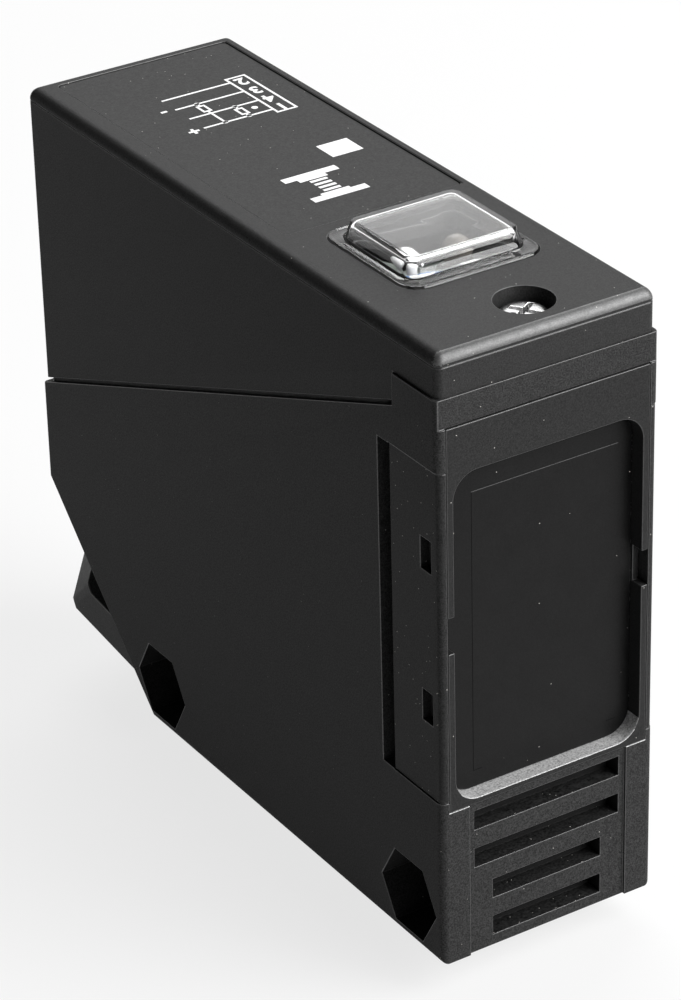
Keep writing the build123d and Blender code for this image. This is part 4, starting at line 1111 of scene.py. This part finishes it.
def build_joint_tree():
    tree, given, result = new_grower(
        "solder_joints",
        {
            "Middle": ("Vector", (0, 0, 0)),
            "Columns": ("Int", 3),
            "Rows": ("Int", 1),
            "Width": ("Float", 0.005),
            "Length": ("Float", 0.0),
            "Radius": ("Float", 0.0006),
            "Height": ("Float", 0.0005),
            "Finish": ("Material", None),
        },
    )
    grid = add_node(tree, "GeometryNodeMeshGrid")
    for label, socket in (
        ("Columns", "Vertices X"), ("Rows", "Vertices Y"), ("Width", "Size X"), ("Length", "Size Y")
    ):
        join(tree, (given, label), (grid, socket))
    cone = add_node(tree, "GeometryNodeMeshCone")
    cone.inputs["Vertices"].default_value = CONE_SIDES
    share = add_node(tree, "ShaderNodeMath", operation="MULTIPLY")
    share.inputs[1].default_value = CONE_TOP_SHARE
    join(tree, (given, "Radius"), (share, 0))
    join(tree, (share, 0), (cone, "Radius Top"))
    join(tree, (given, "Radius"), (cone, "Radius Bottom"))
    join(tree, (given, "Height"), (cone, "Depth"))
    spread = add_node(tree, "GeometryNodeInstanceOnPoints")
    join(tree, (grid, "Mesh"), (spread, "Points"))
    join(tree, (cone, "Mesh"), (spread, "Instance"))
    move = add_node(tree, "GeometryNodeTransform")
    join(tree, (spread, "Instances"), (move, "Geometry"))
    join(tree, (given, "Middle"), (move, "Translation"))
    end_with_finish(tree, given, result, (move, "Geometry"))
    return tree


# %% Grow the joints
joint_tree = build_joint_tree()
board_low, board_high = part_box("display_board")
pins_low, pins_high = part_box("display_pins")
pin_row = (pins_low + pins_high) / 2
JOINT_SINK = 0.02 * MM
grow(
    joint_tree,
    "pin_joints",
    {
        "Middle": (pin_row.x, pin_row.y, board_high.z - JOINT_SINK),
        "Columns": 4,
        "Rows": 1,
        "Width": pins_high.x - pins_low.x - 0.5 * MM,
        "Length": 0.0,
        "Radius": 0.55 * MM,
        "Height": 0.5 * MM,
        "Finish": tin_finish,
    },
    "display_pins",
    smooth=True,
)

# %% [markdown]
# ## Small resistors
#
# Surface-mounted resistors are dark chips with a bright cap on each end. A tiny box is set out as a
# column beside the lamps by instances on a grid. The tree runs three times: for the chips, and for
# the caps at either end of them.


# %% Chip tree
def build_chip_tree():
    tree, given, result = new_grower(
        "chip_row",
        {
            "Middle": ("Vector", (0, 0, 0)),
            "Rows": ("Int", 3),
            "Run": ("Float", 0.004),
            "Chip": ("Vector", (0.0012, 0.0008, 0.0004)),
            "Finish": ("Material", None),
        },
    )
    grid = add_node(tree, "GeometryNodeMeshGrid")
    grid.inputs["Vertices X"].default_value = 1
    grid.inputs["Size X"].default_value = 0.0
    join(tree, (given, "Rows"), (grid, "Vertices Y"))
    join(tree, (given, "Run"), (grid, "Size Y"))
    box = add_node(tree, "GeometryNodeMeshCube")
    join(tree, (given, "Chip"), (box, "Size"))
    spread = add_node(tree, "GeometryNodeInstanceOnPoints")
    join(tree, (grid, "Mesh"), (spread, "Points"))
    join(tree, (box, "Mesh"), (spread, "Instance"))
    move = add_node(tree, "GeometryNodeTransform")
    join(tree, (spread, "Instances"), (move, "Geometry"))
    join(tree, (given, "Middle"), (move, "Translation"))
    end_with_finish(tree, given, result, (move, "Geometry"))
    return tree


# %% Grow the resistors and their caps
chip_tree = build_chip_tree()
CHIP = Vector((0.9, 0.75, 0.42)) * MM
CAP = Vector((0.28, 0.8, 0.46)) * MM
CHIP_COUNT = 4
CHIP_RUN = 4.6 * MM
chip_column = board_low.x + 1.7 * MM
chip_row = board_high.y - 4.2 * MM
for name, x, size, finish in (
    ("resistor_bodies", chip_column, CHIP, chip_finish),
    ("resistor_caps_left", chip_column - (CHIP.x + CAP.x) / 2, CAP, tin_finish),
    ("resistor_caps_right", chip_column + (CHIP.x + CAP.x) / 2, CAP, tin_finish),
):
    grow(
        chip_tree,
        name,
        {
            "Middle": (x, chip_row, board_high.z + size.z / 2 - JOINT_SINK),
            "Rows": CHIP_COUNT,
            "Run": CHIP_RUN,
            "Chip": tuple(size),
            "Finish": finish,
        },
        "display_board",
    )

# %% [markdown]
# ## Floor and light
#
# The sensor stands on a plain pale floor under four soft lamps, all on its right. One over the front
# draws the bright line along the lid's edge, and one high behind lights the lid's top. A wide card
# low behind is what the lid's top mirrors, and a wide fill low in front lights the front face. A weak
# world light does the rest, so the left side stays dark. The floor shines white to the camera and in
# reflections, but keeps some of its own shading, so that the sensor's shadow is seen.

# %% Floor
FLOOR_GREY = 0.6
GLOW_SHARE = 0.76
FLOOR_HALF = 4.0
floor_finish = bpy.data.materials.new("pale_floor_finish")
floor_finish.use_nodes = True
floor_shader = floor_finish.node_tree.nodes["Principled BSDF"]
floor_shader.inputs["Base Color"].default_value = (FLOOR_GREY, FLOOR_GREY, FLOOR_GREY, 1)
floor_shader.inputs["Roughness"].default_value = 0.9
floor_shader.inputs["Specular IOR Level"].default_value = 0.1
floor_tree = floor_finish.node_tree
rays = add_node(floor_tree, "ShaderNodeLightPath")
direct = add_node(floor_tree, "ShaderNodeMath", operation="MAXIMUM")
seen = add_node(floor_tree, "ShaderNodeMath", operation="MAXIMUM")
share = add_node(floor_tree, "ShaderNodeMath", operation="MULTIPLY")
share.inputs[1].default_value = GLOW_SHARE
glow = add_node(floor_tree, "ShaderNodeEmission")
blend = add_node(floor_tree, "ShaderNodeMixShader")
join(floor_tree, (rays, "Is Camera Ray"), (direct, 0))
join(floor_tree, (rays, "Is Glossy Ray"), (direct, 1))
join(floor_tree, (direct, 0), (seen, 0))
join(floor_tree, (rays, "Is Transmission Ray"), (seen, 1))
join(floor_tree, (seen, 0), (share, 0))
join(floor_tree, (share, 0), (blend, 0))
floor_tree.links.new(floor_shader.outputs[0], blend.inputs[1])
floor_tree.links.new(glow.outputs[0], blend.inputs[2])
floor_tree.links.new(blend.outputs[0], floor_tree.nodes["Material Output"].inputs["Surface"])
floor_shape = bmesh.new()
for x, y in ((-1, -1), (1, -1), (1, 1), (-1, 1)):
    floor_shape.verts.new((x * FLOOR_HALF, y * FLOOR_HALF, cad_low.z))
floor_shape.faces.new(floor_shape.verts[:])
floor = solid_from(floor_shape, "pale_floor", floor_finish)
print("floor at", round(cad_low.z / MM, 2), "mm")

# %% Lamps
WORLD_GREY = 0.86
WORLD_STRENGTH = 0.06
middle = (cad_low + cad_high) / 2


def soft_box(name, direction, distance, size, power):
    """An area lamp that looks at the middle of the sensor from that direction."""
    lamp = bpy.data.lights.new(name, "AREA")
    lamp.shape = "RECTANGLE"
    lamp.size, lamp.size_y = size
    lamp.energy = power
    holder = bpy.data.objects.new(name, lamp)
    bpy.context.scene.collection.objects.link(holder)
    away = Vector(direction).normalized()
    holder.location = middle + away * distance
    holder.rotation_euler = away.to_track_quat("Z", "Y").to_euler()
    print(f"{name}: {power} W at {distance} m")


soft_box("front_box", (0.46, -0.50, 0.74), 0.75, (0.42, 0.42), 4.2)
soft_box("back_box", (0.34, 0.50, 0.80), 0.8, (0.6, 0.26), 3.6)
soft_box("back_card", (0.465, 0.741, 0.484), 0.9, (1.0, 0.5), 2.3)
soft_box("front_fill", (0.50, -0.77, 0.40), 0.9, (1.0, 0.5), 13.5)
world = bpy.data.worlds.new("studio")
bpy.context.scene.world = world
world.use_nodes = True
sky = world.node_tree.nodes["Background"]
sky.inputs["Color"].default_value = (WORLD_GREY, WORLD_GREY, WORLD_GREY, 1)
sky.inputs["Strength"].default_value = WORLD_STRENGTH
bpy.context.scene.view_settings.view_transform = "Standard"

# %% [markdown]
# ## Camera
#
# A long lens, from the front left and above. Its three directions are worked out from the angles at
# which it looks, with a small roll, and its place is a fixed distance from a point near the middle of
# the block.

# %% Camera
AZIMUTH = radians(32.1104)
ELEVATION = radians(28.9193)
ROLL = radians(1.4851)
DISTANCE = 0.4123574
AIM = Vector((-0.0048004, -0.0005, 0.032008))
LENS = 145.4
back = Vector(
    (-sin(AZIMUTH) * cos(ELEVATION), -cos(AZIMUTH) * cos(ELEVATION), sin(ELEVATION))
)
right = (-back).cross(Vector((0, 0, 1))).normalized()
down = (-back).cross(right).normalized()
across = right * cos(ROLL) + down * sin(ROLL)
upward = right * sin(ROLL) - down * cos(ROLL)
camera_data = bpy.data.cameras.new("camera")
camera_data.lens = LENS
camera_data.sensor_width = 36.0
camera = bpy.data.objects.new("camera", camera_data)
bpy.context.scene.collection.objects.link(camera)
axes = Matrix((across, upward, back)).transposed().to_4x4()
camera.matrix_world = Matrix.Translation(AIM + back * DISTANCE) @ axes
bpy.context.scene.camera = camera
print("camera at", [round(v, 4) for v in camera.location])
